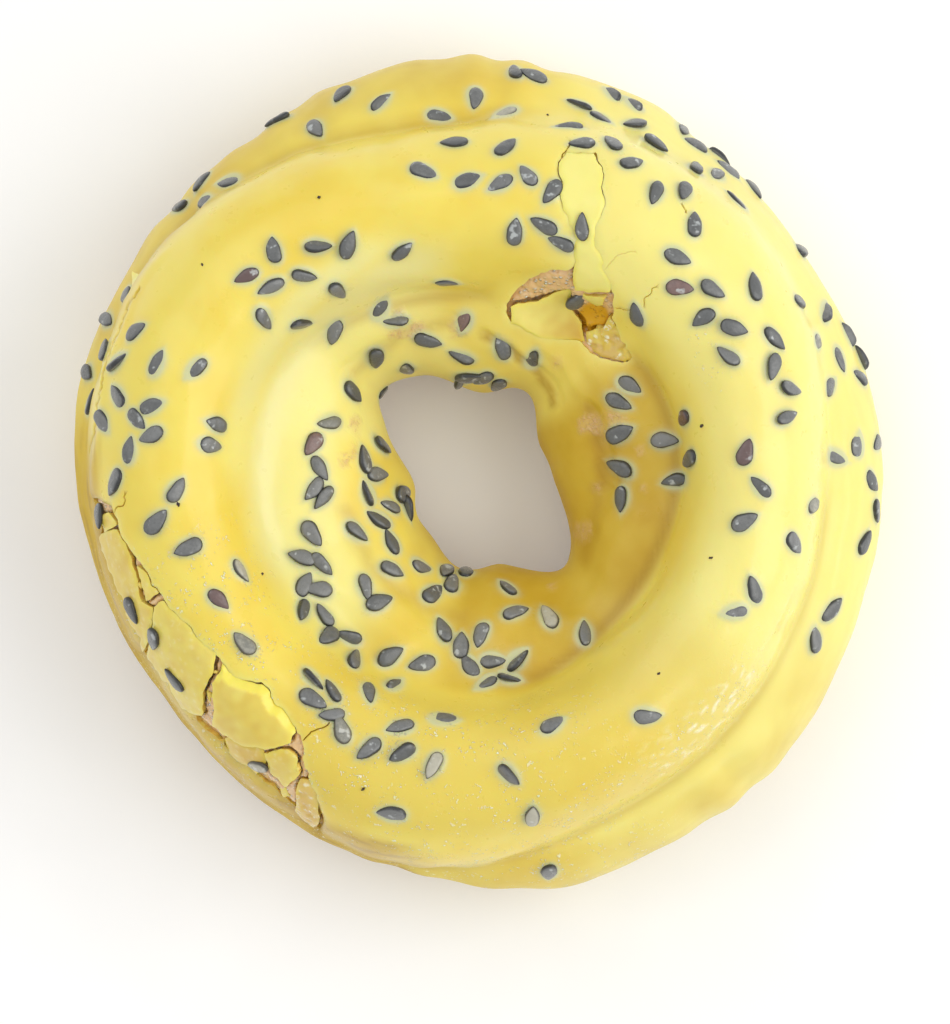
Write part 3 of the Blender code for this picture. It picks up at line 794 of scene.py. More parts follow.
@dataclass
class Sesame:
    """All sesame: where it lies, its meshes and how the coat rises round it."""

    form: RingForm
    seed: int = 11
    length: float = 3.35
    width: float = 1.70
    thickness: float = 0.95
    taper: float = 0.24
    proud: float = 0.10
    first_spacing: float = 2.4
    least_spacing: float = 1.45
    edge_margin: float = 0.75
    collar_rise: float = 0.15
    collar_width: float = 0.34
    halo_width: float = 0.50
    around_reach: float = 3.2
    kind_reach: float = 4.0
    drop_height: float = 60.0
    edge_lying: float = 0.12
    footprint_steps: int = 22
    footprint_stagger: float = 0.14
    footprint_rings: tuple[float, ...] = (-0.40, -0.12, 0.04, 0.20, 0.40, 0.70)
    segments: int = 18
    rings: int = 11
    laid: list[Seed] = field(default_factory=list)

    def plan_places(self) -> list[tuple[float, float, float]]:
        """Plan positions and headings of all seeds, evenly spaced with jitter along their arcs."""
        draw = random.Random(self.seed)
        places = []
        for start, end, radius, count, spread in SESAME_ON_RIM + SESAME_ON_CROWN + SESAME_IN_FUNNEL:
            for index in range(count):
                share = index / (count - 1) if count > 1 else 0.5
                clock = start + (end - start) * share + draw.uniform(-0.6, 0.6)
                side = 1.0 if index % 2 else -1.0
                away = radius + side * spread * draw.uniform(0.6, 1.1)
                places.append((*plan_spot(clock, away), draw.uniform(0.0, math.tau)))
        return places[::2] + places[1::2]

    def girth(self, along: Array) -> Array:
        """Width of a seed at shares -1 to 1 of its half length, beside its widest: a teardrop."""
        body = np.maximum(1.0 - along * along, 0.0) ** (0.5 + 0.15 * ease(along, 0.1, 0.9))
        return body * (1.0 - self.taper * along) ** 1.3

    def outline_radius(self, angle: Array) -> Array:
        """Distance from a seed's centre to its outline, for a seed of plain size.

        Args:
            angle: directions in radians, from the tip's.

        Returns:
            Distances in mm.
        """
        shares = np.cos(np.linspace(0.0, math.pi, 90))
        a = shares * self.length / 2.0
        b = self.girth(shares) * self.width / 2.0
        return np.interp(np.abs(angle), np.arctan2(b, a), np.hypot(a, b))

    def make_seed(self, place: Array, normal: Array, heading: float, kind: SesameKind,
                  scale: float, on_coat: bool, roll: float = 0.0) -> Seed:
        """One seed laid flat on a surface.

        Args:
            place: point of the surface in mm.
            normal: its unit normal.
            heading: turn of the seed about the normal in radians.
            kind: look of its skin.
            scale: size beside a seed of plain size.
            on_coat: whether the unbroken coat holds it.
            roll: turn about its length in radians.

        Returns:
            The seed.
        """
        lie_flat = Vector(normal).to_track_quat("Z", "Y").to_matrix() @ Matrix.Rotation(heading, 3, "Z")
        axes = np.array(lie_flat).T
        return Seed(place, axes[0], axes[1], axes[2], scale, kind, on_coat, roll)

    def lay(self, breaks: list[Array], pieces: BVHTree) -> None:
        """Lay all seeds on the coat and on the broken pieces.

        Args:
            breaks: outlines of the breaks in mm.
            pieces: surface of the broken pieces, in metres.
        """
        draw = random.Random(self.seed + 1)
        places = self.plan_places()
        plan = np.array([(x, y) for x, y, _ in places])
        margin = np.min([outline_distance(plan, outline) for outline in breaks], axis=0)
        clock, radius = plan_polar(plan)
        turn = self.form.turn_under(clock, radius)
        points = self.form.skin(clock, turn)
        normals = self.form.normals(clock, turn)
        first = len(places) - len(places) // 2
        for index, (_, _, heading) in enumerate(places):
            scale = draw.uniform(0.90, 1.07)
            way = draw.choice((-1.0, 1.0))
            roll = way * (draw.uniform(0.7, 1.1) if draw.random() < self.edge_lying else draw.uniform(0.0, 0.28))
            spacing = self.first_spacing if index < first else self.least_spacing
            crowded = any(np.linalg.norm(points[index] - seed.place) < spacing for seed in self.laid)
            if margin[index] < self.edge_margin or crowded:
                continue
            self.laid.append(self.make_seed(
                points[index], normals[index], heading, SesameKind.SLATE, scale, True, roll))
        self.lay_on_pieces(pieces, draw)
        self.sort_kinds()
        log.info("laid %d sesame seeds", len(self.laid))

    def sort_kinds(self) -> None:
        """Make the seeds nearest to a few places plum or frosted."""
        for name, places in SESAME_ODD_KINDS.items():
            for clock, radius in places:
                away = [math.dist(seed.place[:2], plan_spot(clock, radius)) for seed in self.laid]
                nearest = away.index(min(away))
                if away[nearest] < self.kind_reach:
                    self.laid[nearest] = replace(self.laid[nearest], kind=SesameKind(name))

    def lay_on_pieces(self, pieces: BVHTree, draw: random.Random) -> None:
        """Lay the few seeds that the broken pieces carry."""
        for clock, radius in SESAME_ON_PIECES:
            above = Vector((*plan_spot(clock, radius * MM), self.drop_height * MM))
            point, normal, _, _ = pieces.ray_cast(above, Vector((0.0, 0.0, -1.0)))
            if point is not None:
                self.laid.append(self.make_seed(
                    np.array(point) / MM, np.array(normal), draw.uniform(0.0, math.tau),
                    SesameKind.SLATE, 1.0, False))

    def footprint_points(self) -> Array:
        """Points in rings round each seed on the coat, so that the coat's mesh can rise to it."""
        centres = search_tree([seed.place for seed in self.laid])
        angles = np.linspace(-math.pi, math.pi, self.footprint_steps, endpoint=False)
        points = []
        for index, seed in enumerate(self.laid):
            if not seed.on_coat:
                continue
            for rank, away in enumerate(self.footprint_rings):
                turned = angles + self.footprint_stagger * (rank % 2)
                radius = self.outline_radius(np.mod(turned + math.pi, math.tau) - math.pi) * seed.scale + away
                ring = (seed.place
                        + np.outer(radius * np.cos(turned), seed.along)
                        + np.outer(radius * np.sin(turned), seed.across))
                points.extend(point for point in ring if centres.find(Vector(point))[1] == index)
        return np.array(points)

    def around(self, points: Array) -> tuple[Array, Array]:
        """How the coat rises and pales near seeds.

        Args:
            points: points of the coat in mm.

        Returns:
            Rise in mm and halo strength from 0 to 1, at each point.
        """
        tree = search_tree(points)
        rise = np.zeros(len(points))
        halo = np.zeros(len(points))
        for seed in self.laid:
            found = tree.find_range(Vector(seed.place), self.around_reach)
            near = np.array([index for _, index, _ in found], dtype=int)
            if not seed.on_coat or len(near) == 0:
                continue
            offset = points[near] - seed.place
            a, b = offset @ seed.along, offset @ seed.across
            away = np.hypot(a, b) - self.outline_radius(np.arctan2(b, a)) * seed.scale
            away = np.maximum(away, 0.0)
            rise[near] = np.maximum(rise[near], self.collar_rise * bell(away, self.collar_width, 1.6))
            halo[near] = np.maximum(halo[near], bell(away, self.halo_width, 1.5))
        return rise, halo

    def seed_shell(self, draw: np.random.Generator) -> tuple[Array, Array]:
        """One seed's points along, across and up in mm, and how near its edge each one is.

        Args:
            draw: random numbers for its small unevenness.

        Returns:
            Points and edge shares, ring by ring from the round end to the tip.
        """
        points, edges = [], []
        bend = draw.uniform(-0.16, 0.16)
        broad = draw.uniform(0.86, 1.12)
        phase = draw.uniform(0.0, math.tau, 3)
        for ring in range(self.rings + 2):
            share = -math.cos(math.pi * ring / (self.rings + 1))
            girth = float(self.girth(np.array([share]))[0])
            for step in range(self.segments):
                angle = math.tau * step / self.segments
                side, up = math.cos(angle), math.sin(angle)
                flat = abs(up) ** 0.8 * (1.0 if up >= 0.0 else -1.0)
                dimple = 0.16 * math.exp(-(side / 0.45) ** 2 - (share / 0.6) ** 2)
                ridge = 0.05 * math.sin(5.0 * share + phase[0] + 2.0 * side)
                uneven = 1.0 + 0.05 * (math.sin(3.0 * angle + phase[1]) + math.sin(5.0 * share + phase[2]))
                points.append((
                    share * self.length / 2.0,
                    side * girth * self.width * broad * uneven / 2.0 + bend * (1.0 - share * share),
                    flat * girth ** 0.8 * self.thickness / 2.0 * (1.0 - dimple + ridge)))
                edges.append(min(1.0, (abs(side) ** 4 + abs(share) ** 7)))
        return np.array(points), np.array(edges)

    def build(self, kind: SesameKind) -> Object:
        """Join all seeds of one kind into one mesh object.

        Args:
            kind: the kind.

        Returns:
            The linked object.
        """
        draw = np.random.default_rng(self.seed + len(kind.value))
        verts, faces, edges, tones = [], [], [], []
        for seed in (seed for seed in self.laid if seed.kind is kind):
            shell, edge = self.seed_shell(draw)
            sunk = self.proud + draw.uniform(-0.05, 0.06)
            tilt = draw.uniform(-0.07, 0.07)
            base = sum(len(block) for block in verts)
            shell = shell * seed.scale
            turned, raised = math.cos(seed.roll), math.sin(seed.roll)
            side = shell[:, 1] * turned - shell[:, 2] * raised
            height = shell[:, 1] * raised + shell[:, 2] * turned + shell[:, 0] * tilt + sunk
            verts.append(
                seed.place + np.outer(shell[:, 0], seed.along) + np.outer(side, seed.across)
                + np.outer(height, seed.normal))
            edges.append(edge)
            tones.append(np.full(len(shell), draw.uniform(0.0, 1.0)))
            for ring in range(self.rings + 1):
                for step in range(self.segments):
                    over = (step + 1) % self.segments
                    low, high = base + ring * self.segments, base + (ring + 1) * self.segments
                    faces.append((low + step, high + step, high + over, low + over))
        obj = mesh_object("sesame_" + kind.value, np.concatenate(verts), faces)
        add_field(obj, "edge", np.concatenate(edges))
        add_field(obj, "tone", np.concatenate(tones))
        weld(obj, 0.002)
        return obj


def linked(name: str, data: bpy.types.ID) -> Object:
    """A new object in the scene for a mesh, a light or a camera."""
    obj = bpy.data.objects.new(name, data)
    bpy.context.scene.collection.objects.link(obj)
    return obj


@contextmanager
def editing(mesh: bpy.types.Mesh) -> Iterator[bmesh.types.BMesh]:
    """Open a mesh for changes, which are written back at the end.

    Args:
        mesh: the mesh.

    Returns:
        Its editable form.
    """
    shape = bmesh.new()
    shape.from_mesh(mesh)
    yield shape
    shape.to_mesh(mesh)
    shape.free()


def mesh_object(name: str, points: Array, faces: list | Array) -> Object:
    """A smooth-shaded mesh object from points in mm.

    Args:
        name: the object's name.
        points: an (n, 3) array in mm.
        faces: corner indices of each face.

    Returns:
        The linked object.
    """
    mesh = bpy.data.meshes.new(name)
    mesh.from_pydata((points * MM).tolist(), [], [tuple(int(i) for i in face) for face in faces])
    mesh.shade_smooth()
    return linked(name, mesh)


def add_field(obj: Object, name: str, values: Array) -> None:
    """Store one number a vertex, for the material to read."""
    made = obj.data.attributes.new(name, "FLOAT", "POINT")
    made.data.foreach_set("value", values.astype(np.float32))


def weld(obj: Object, distance: float) -> None:
    """Merge vertices of a mesh that lie within a distance in mm."""
    with editing(obj.data) as shape:
        bmesh.ops.remove_doubles(shape, verts=shape.verts, dist=distance * MM)
        bmesh.ops.dissolve_degenerate(shape, edges=shape.edges, dist=distance * MM * 0.5)


def remove_loose(obj: Object) -> None:
    """Drop vertices that no face uses."""
    with editing(obj.data) as shape:
        bmesh.ops.delete(shape, geom=[vert for vert in shape.verts if not vert.link_faces], context="VERTS")


def thicken(obj: Object, thickness: float, rim_only: bool) -> None:
    """Give a sheet its thickness in mm, downwards, with material slot 1 on the walls.

    Args:
        obj: the sheet.
        thickness: its thickness in mm.
        rim_only: whether only the walls are added, and no lower side.
    """
    shell = obj.modifiers.new("thickness", "SOLIDIFY")
    shell.thickness = thickness * MM
    shell.offset = -1.0
    shell.use_rim_only = rim_only
    shell.material_offset_rim = 1
    bpy.context.view_layer.update()
    evaluated = obj.evaluated_get(bpy.context.evaluated_depsgraph_get())
    name = obj.data.name
    obj.data = bpy.data.meshes.new_from_object(evaluated)
    obj.data.name = name
    obj.modifiers.clear()
    obj.data.set_sharp_from_angle(angle=math.radians(SHARP_ANGLE))


def chart_mesh(points: Array, edges: list[tuple[int, int]]) -> tuple[Array, Array]:
    """Triangulate chart points with given edges."""
    result = delaunay_2d_cdt([Vector(point) for point in points], edges, [], 0, 1e-7)
    return np.array([tuple(vert) for vert in result[0]]), np.array(result[2], dtype=int)


def closed_edges(first: int, count: int) -> list[tuple[int, int]]:
    """Edges of a closed loop of vertices."""
    return [(first + index, first + (index + 1) % count) for index in range(count)]


@dataclass
class Coating:
    """The yellow coat in one piece, holed at the two breaks, risen round each seed."""

    form: RingForm
    sesame: Sesame
    breaks: list[Array]
    spacing: float = 0.62
    thickness: float = 0.9
    outer_lip: float = -47.0
    inner_lip: float = 213.0
    lip_roll: float = 7.0
    wear_depth: float = 0.17
    wear_width: float = 0.30
    flank_wear: float = 0.42
    wear_reach: float = 1.3
    seam_clock: float = 321.0
    seam_margin: float = 0.006
    lip_margin: float = 0.012
    lattice_gap: float = 0.28
    ring_gap: float = 0.13
    crack_gap: float = 0.06
    side_pitch: float = 0.5
    lip_steps: tuple[int, int] = (560, 220)
    crack_turns: tuple[float, float] = (-12.0, 200.0)
    undulations: tuple[tuple[Undulation, float], ...] = (
        (Undulation(21, 16.0), 0.16), (Undulation(22, 6.5), 0.055), (Undulation(23, 2.3), 0.012))
    pink_patches: tuple[tuple[float, float, float, float], ...] = (
        (119, 19.6, 1.5, 1.0), (114.5, 17.8, 1.2, 0.9), (23, 14.6, 1.7, 1.0), (19, 16.6, 1.3, 0.9),
        (55, 15.6, 0.8, 0.7), (98, 16.8, 1.2, 0.6), (157, 15.0, 1.0, 0.7), (173, 14.9, 1.1, 0.8),
        (355, 19.0, 0.7, 0.6), (303, 15.3, 0.8, 0.6), (332, 13.6, 1.2, 0.7), (352, 13.2, 0.8, 0.6),
        (8, 18.5, 0.8, 0.6))

    def drip(self, clock: Array, turn: Array) -> Array:
        """Turn angles with the coat's two lips wandering up and down.

        Args:
            clock, turn: clock and turn angles.

        Returns:
            Turn angles.
        """
        angle = np.radians(clock)
        wander = 3.0 * (0.6 * np.sin(5.0 * angle + 1.0) + 0.4 * np.sin(11.0 * angle))
        wander = wander + 0.5 * np.sin(29.0 * angle + 2.0)
        low = 1.0 - ease(turn, self.outer_lip, self.outer_lip + 14.0)
        high = ease(turn, self.inner_lip - 16.0, self.inner_lip)
        return turn + wander * (low + high)

    def roll(self, turn: Array) -> Array:
        """How far the lips curl inwards in mm.

        Args:
            turn: turn angles.

        Returns:
            Depths in mm.
        """
        low = np.clip((self.outer_lip + self.lip_roll - turn) / self.lip_roll, 0.0, 1.0)
        high = np.clip((turn - self.inner_lip + self.lip_roll) / self.lip_roll, 0.0, 1.0)
        rolled = np.maximum(low, high)
        return 0.55 * (1.0 - np.sqrt(1.0 - rolled * rolled * 0.98))

    def wear(self, plan: Array) -> Array:
        """How worn the coat is beside the breaks, from 0 to 1, at places seen from above.

        Args:
            plan: places in mm.

        Returns:
            One value a place.
        """
        worn = np.zeros(len(plan))
        for outline in self.breaks:
            low, high = outline.min(axis=0) - self.wear_reach, outline.max(axis=0) + self.wear_reach
            near = np.all((plan > low) & (plan < high), axis=1)
            away = outline_distance(plan[near], outline)
            worn[near] = np.maximum(worn[near], bell(away, self.wear_width, 1.4))
        return worn

    def surface(self, clock: Array, turn: Array) -> tuple[Array, dict[str, Array]]:
        """Lay the skin of the coat.

        Args:
            clock: clock angles.
            turn: turn angles, before the lips wander.

        Returns:
            Points in mm, and at each the halo, the crack, the wear and the wear on the flank's slope.
        """
        turned = self.drip(clock, turn)
        reach = self.form.reach(clock, turned) - self.roll(turn)
        points = self.form.place(clock, turned, reach)
        for noise, height in self.undulations:
            reach = reach + noise.at(points) * height
        rise, halo = self.sesame.around(points)
        plan = points[:, :2]
        on_top = (turned > self.crack_turns[0]) & (turned < self.crack_turns[1])
        openings = [crack.opening(plan) * on_top for crack in HAIR_CRACKS]
        sunk = np.max([opening * crack.depth for opening, crack in zip(openings, HAIR_CRACKS)], axis=0)
        worn = self.wear(plan) * on_top
        stained = np.max([opening * crack.stain for opening, crack in zip(openings, HAIR_CRACKS)], axis=0)
        slope = arc_window(clock, 188, 250, 8.0) * ease(plan_polar(plan)[1], 41.3, 42.6)
        reach = reach + rise - sunk - worn * (self.wear_depth + self.flank_wear * slope)
        fields = {"halo": halo, "crack": stained, "worn": worn, "slope": worn * slope}
        return self.form.place(clock, turned, reach), fields

    def unrolled(self, points: Array) -> Array:
        """Chart points counted round the ring from the seam."""
        return np.stack((np.mod(points[:, 0] - math.radians(self.seam_clock), math.tau), points[:, 1]), axis=-1)

    def build(self) -> Object:
        """Mesh the whole coat."""
        chart = SkinChart(self.form, self.outer_lip, self.inner_lip)
        loops = [chart.from_plan(outline) for outline in self.breaks]

        def unbroken(points: Array, outlines: list[Array]) -> Array:
            """Whether chart points lie outside the breaks."""
            return ~np.any([inside(points, outline) for outline in outlines], axis=0)

        rings = chart.from_angles(*self.form.polar(self.sesame.footprint_points()))
        cracks = chart.from_plan(np.concatenate([crack.points() for crack in HAIR_CRACKS]))
        lattice = chart.lattice(np.zeros(2), np.array((math.tau, chart.heights[-1])), self.spacing)
        lattice = lattice[unbroken(lattice, loops)]
        lattice = chart.clear_of(lattice, np.concatenate([rings, cracks] + loops), self.lattice_gap)
        cracks = chart.clear_of(cracks[unbroken(cracks, loops)], np.concatenate(loops), self.crack_gap)
        rings = chart.clear_of(rings[unbroken(rings, loops)], np.concatenate([cracks] + loops), self.ring_gap)
        free = self.unrolled(np.concatenate((lattice, rings, cracks)))
        free = free[(free[:, 0] > self.seam_margin) & (free[:, 0] < math.tau - self.seam_margin)]
        blocks = [self.unrolled(loop) for loop in loops]
        edges, first = [], 0
        for block in blocks:
            edges += closed_edges(first, len(block))
            first += len(block)
        flat, triangles = chart_mesh(np.concatenate(blocks + [free, self.side_points(chart)]), edges)
        triangles = triangles[unbroken(flat[triangles].mean(axis=1), blocks)]
        clock = np.degrees(flat[:, 0] + math.radians(self.seam_clock))
        turn = chart.turn(flat[:, 1])
        points, fields = self.surface(clock, turn)
        obj = mesh_object("coat_skin", points, triangles)
        self.add_fields(obj, points, turn, fields)
        weld(obj, 0.01)
        remove_loose(obj)
        return obj

    def side_points(self, chart: SkinChart) -> Array:
        """Matching points on the chart's two sides, where the coat closes on itself, and on its lips.

        Args:
            chart: flat chart of the skin.

        Returns:
            Chart points.
        """
        top = chart.heights[-1]
        heights = [0.0]
        while heights[-1] < top - self.lip_margin:
            heights.append(heights[-1] + self.side_pitch / float(chart.radius(np.array([heights[-1]]))[0]))
        heights[-1] = top
        low, high = (np.linspace(0.0, math.tau, steps)[1:-1] for steps in self.lip_steps)
        return np.array(
            [(0.0, height) for height in heights] + [(math.tau, height) for height in heights]
            + [(across, 0.0) for across in low] + [(across, top) for across in high])

    def add_fields(self, obj: Object, points: Array, turn: Array, fields: dict[str, Array]) -> None:
        """Store the coat's colour fields: thin coat with painted shade, scorch, paleness that is partly painted
        light, pink, oil, painted crease shade, painted sky sheen and painted glints.

        Args:
            obj: the coat.
            points: its points in mm.
            turn: their turn angles.
            fields: halo, crack, wear and worn slope at each point.
        """
        clock, radius = plan_polar(points)
        clock = np.mod(clock, 360.0)
        inner = radius - self.form.inner_crease.at(clock)
        outer = radius - self.form.outer_crease.at(clock)
        patchy = Undulation(31, 2.6).at(points)
        coarse = Undulation(32, 9.0).at(points)
        streak = Undulation(33, 1.5).at(np.stack((np.radians(clock) * 7.5, turn * 0.24), axis=-1))
        glint = Undulation(35, 1.3).at(np.stack((np.radians(clock) * 20.0, radius * 1.5), axis=-1))
        funnel = 1.0 * (turn > 86.0)
        flank = 1.0 - ease(turn, 4.0, 28.0)
        into = ease(-inner, -1.3, 0.9) * (turn > 84.0)
        # Painted shade along the inner and outer creases.
        fold_in = 0.42 * bell(inner + 0.45, 0.75) * funnel
        fold_out = 0.22 * bell(outer - 0.2, 0.55) * (1.0 - funnel)

        # Thin coat and painted shade: amber darkens the funnel walls and the hole's lip that face away from the
        # key lamp, and a band beside the outer crease carries painted shadow; on the flanks it is thin coat.
        thin = strongest(clock, (
            (0.84, 288, 388, 22.0, into), (0.16, 52, 112, 20.0, into), (0.80, 266, 292, 18.0, into),
            (0.30, 236, 266, 16.0, into), (0.30, 260, 320, 20.0, flank), (0.42, 96, 178, 24.0, flank),
            (0.40, 88, 156, 12.0, bell(outer - 0.9, 1.3))))
        bare_lip = ease(turn, 172.0, 200.0) * (0.15 + 0.85 * arc_window(clock, 238, 392, 24.0))
        thin = np.maximum(thin, 0.62 * bare_lip)
        ochre = np.maximum(flank, ease(radius, 42.4, 44.0) * (turn < 60.0)) * arc_window(clock, 182, 254, 12.0)
        low_flank = (1.0 - ease(turn, -14.0, 16.0)) * (0.08 + 0.92 * arc_window(clock, 190, 258, 10.0))
        scorch = np.max((
            low_flank * ease(streak, -0.2, 1.1), 0.8 * ochre * ease(streak, 0.5, 1.3),
            0.8 * fields.pop("slope")), axis=0)
        # Paler coat: partly the coat's own paler tone on the right of the crown, partly painted light: painted
        # sheen on the left crest and funnel, painted light on the lower-right ledge that faces the key lamp and on
        # the shaded upper-left wall of the hole.
        pale = strongest(clock, (
            (0.80, -44, 62, 20.0, ease(radius, 22.0, 28.0)),
            (0.25, 44, 120, 20.0, ease(3.5 - inner, 0.0, 4.0) * (turn > 80.0)),
            (0.80, 120, 172, 20.0, bell(radius - 27.8, 1.7)),
            (0.60, 292, 352, 16.0, 1.0 - ease(turn, 26.0, 50.0)),
            (0.95, 112, 222, 22.0, bell(radius - 21.0, 5.0, 4.0) * funnel),
            (0.90, 104, 160, 12.0, bell(radius - 14.5, 3.5, 4.0) * (turn > 100.0))))
        # Painted reflection: a pale cool sheen of the sky on the inner crest and the upper-left crown.
        sky = strongest(clock, (
            (1.0, 108, 200, 16.0, bell(radius - 24.8, 2.0) * (turn > 80.0)),
            (0.8, 122, 160, 14.0, bell(radius - 27.4, 1.8))))
        pink = np.max([
            strength * (1.0 - ease(away_from(points, plan_spot(spot, middle)) / size + 0.30 * patchy, 0.3, 1.2))
            for spot, middle, size, strength in self.pink_patches], axis=0) * (turn > 90.0)
        # Painted shade in the creases: fold grooves and lines beside the creases turn brown, partly a brownish
        # tint of the coat.
        folded = sum(np.maximum(-fold.at(clock, radius), 0.0) for fold in self.form.folds) * (turn > 88.0)
        folded = np.maximum(folded, strongest(clock, (
            (1.0, 288, 392, 10.0, fold_in), (0.8, 92, 136, 10.0, fold_in),
            (1.0, 266, 352, 10.0, fold_out), (1.0, 92, 148, 8.0, fold_out))))
        # Oily places: glossier coat, where painted glints go.
        oily = strongest(clock, (
            (1.0, 200, 290, 14.0, ease(radius, 25.0, 29.0) * (0.6 + 0.4 * (coarse > 0.2))),
            (1.0, 302, 324, 5.0, bell(radius - 38.0, 1.8)),
            (1.0, 21, 31, 4.0, bell(radius - 29.2, 1.5))))
        fields.update(
            thin=np.clip(thin + (0.07 * coarse + 0.02 * patchy) * ease(thin, 0.0, 0.3), 0.0, 1.0),
            # Painted shade: the crown is darkened along the lower part of the ring.
            dull=arc_window(clock, 236, 316, 16.0) * ease(radius, 24.5, 27.0) * (1.0 - ease(radius, 40.0, 43.5)),
            matte=np.maximum(flank * (0.4 + 0.6 * arc_window(clock, 172, 266, 14.0)), ease(turn, 150.0, 180.0)),
            # Painted highlight: white gleam streaks on the lower-right crown.
            gleam=arc_window(clock, 303, 321, 5.0) * bell(radius - 38.2, 1.7) * ease(glint, 0.5, 1.1),
            folded=np.clip(folded * 1.6, 0.0, 1.0), ochre=ochre, scorch=scorch, pale=pale, sky=sky,
            pink=pink, oily=oily)
        for name, values in fields.items():
            add_field(obj, name, values)


@dataclass(frozen=True)
class BrokenPiece:
    """One loose piece of coat, left a little askew in a break.

    Args:
        name: the node that it stands for.
        sink: how far it has sunk in mm, negative where it stands proud.
        lean_in: lean of its outer edge downwards, in degrees.
        lean_along: lean along the ring in degrees.
        outline: its corners seen from above, in mm.
        inset: how far its edge is drawn in, in mm.
        stain: how brown and thin it looks, from 0 to 1.
        amber: how strongly it deepens to amber across its width.
        amber_way: the direction of that, as an angle from +X in degrees.
        oily: how bubbly and glossy it is, from 0 to 1.
        pale: how much paler than the others it is, from 0 to 1.
        bevel: width in mm of the snapped edge that shows on its inner side.
        bevel_way: the direction which that edge faces, as an angle from +X in degrees.
        spacing: distance between its points in mm.
        thickness: its thickness in mm.
        edge_gap: how far its inner points keep from its edge, in mm.
        edge_wear: how deeply its edge is worn, in mm.
        bevel_spread: half the arc that the bevel faces, in degrees.
    """

    name: str
    sink: float
    lean_in: float
    lean_along: float
    outline: Pairs
    inset: float = 0.05
    stain: float = 0.15
    amber: float = 0.0
    amber_way: float = 0.0
    oily: float = 0.15
    pale: float = 0.0
    bevel: float = 0.0
    bevel_way: float = 55.0
    spacing: float = 0.25
    thickness: float = 0.85
    edge_gap: float = 0.13
    edge_wear: float = 0.13
    bevel_spread: float = 64.0

    def build(self, form: RingForm, chart: SkinChart, fracture: Fracture) -> Object:
        """Mesh the piece as a curved plate with ragged edges.

        Args:
            form: the ring's form.
            chart: flat chart of its skin.
            fracture: how its edges wander.

        Returns:
            The linked object.
        """
        loop = chart.from_plan(fracture.edge(self.outline, self.inset))
        inner = chart.lattice(loop.min(axis=0), loop.max(axis=0), self.spacing)
        inner = chart.clear_of(inner[inside(inner, loop)], loop, self.edge_gap)
        flat, triangles = chart_mesh(np.concatenate((loop, inner)), closed_edges(0, len(loop)))
        triangles = triangles[inside(flat[triangles].mean(axis=1), loop)]
        clock, turn = chart.to_angles(flat)
        points = form.skin(clock, turn)
        away = np.abs(outline_distance(flat, loop)) * chart.radius(flat[:, 1])
        worn = self.edge_wear * bell(away, 0.2, 1.4) + 0.03 * Undulation(41, 2.4).at(points)
        worn = worn + 0.16 * self.oily * np.maximum(Undulation(43, 1.1).at(points), 0.0)
        snapped = self.snapped(points, away)
        points = form.skin(clock, turn, worn + 0.85 * self.bevel * snapped)
        obj = mesh_object("broken_" + self.name, points, triangles)
        self.tip(obj, points)
        way = points[:, :2] @ np.array(plan_spot(self.amber_way, 1.0))
        across = (way - way.min()) / (way.max() - way.min())
        stained = self.stain + 0.06 * Undulation(42, 1.9).at(points) + self.amber * across ** 2.2
        add_field(obj, "thin", np.clip(stained * (1.0 - np.minimum(snapped * 3.0, 1.0)), 0.0, 1.0))
        add_field(obj, "rim", np.maximum(0.6 * bell(away, 0.4, 1.5), np.minimum(snapped * 5.0, 1.0)))
        add_field(obj, "oily", np.full(len(points), self.oily))
        add_field(obj, "pale", np.full(len(points), self.pale))
        remove_loose(obj)
        return obj

    def snapped(self, points: Array, away: Array) -> Array:
        """Share of the bevel's depth at points, from how far each is from the piece's edge in mm.

        Args:
            points: the piece's points in mm.
            away: their distances from its edge in mm.

        Returns:
            Shares from 0 to 1.
        """
        if not self.bevel:
            return np.zeros(len(points))
        bearing, _ = plan_polar(points - points.mean(axis=0))
        facing = arc_window(bearing, self.bevel_way - self.bevel_spread, self.bevel_way + self.bevel_spread, 14.0)
        return facing * np.clip(1.0 - away / self.bevel, 0.0, 1.0)

    def tip(self, obj: Object, points: Array) -> None:
        """Sink and lean the piece about its middle.

        Args:
            obj: the piece.
            points: its points in mm.
        """
        middle = Vector(points.mean(axis=0) * MM)
        outwards = Vector((middle.x, middle.y, 0.0)).normalized()
        along = Vector((-outwards.y, outwards.x, 0.0))
        lean = Matrix.Rotation(math.radians(self.lean_in), 4, along)
        lean = Matrix.Rotation(math.radians(self.lean_along), 4, outwards) @ lean
        normal = sum((face.normal * face.area for face in obj.data.polygons), Vector()).normalized()
        shift = Matrix.Translation(normal * -self.sink * MM)
        obj.data.transform(Matrix.Translation(middle) @ shift @ lean @ Matrix.Translation(-middle))


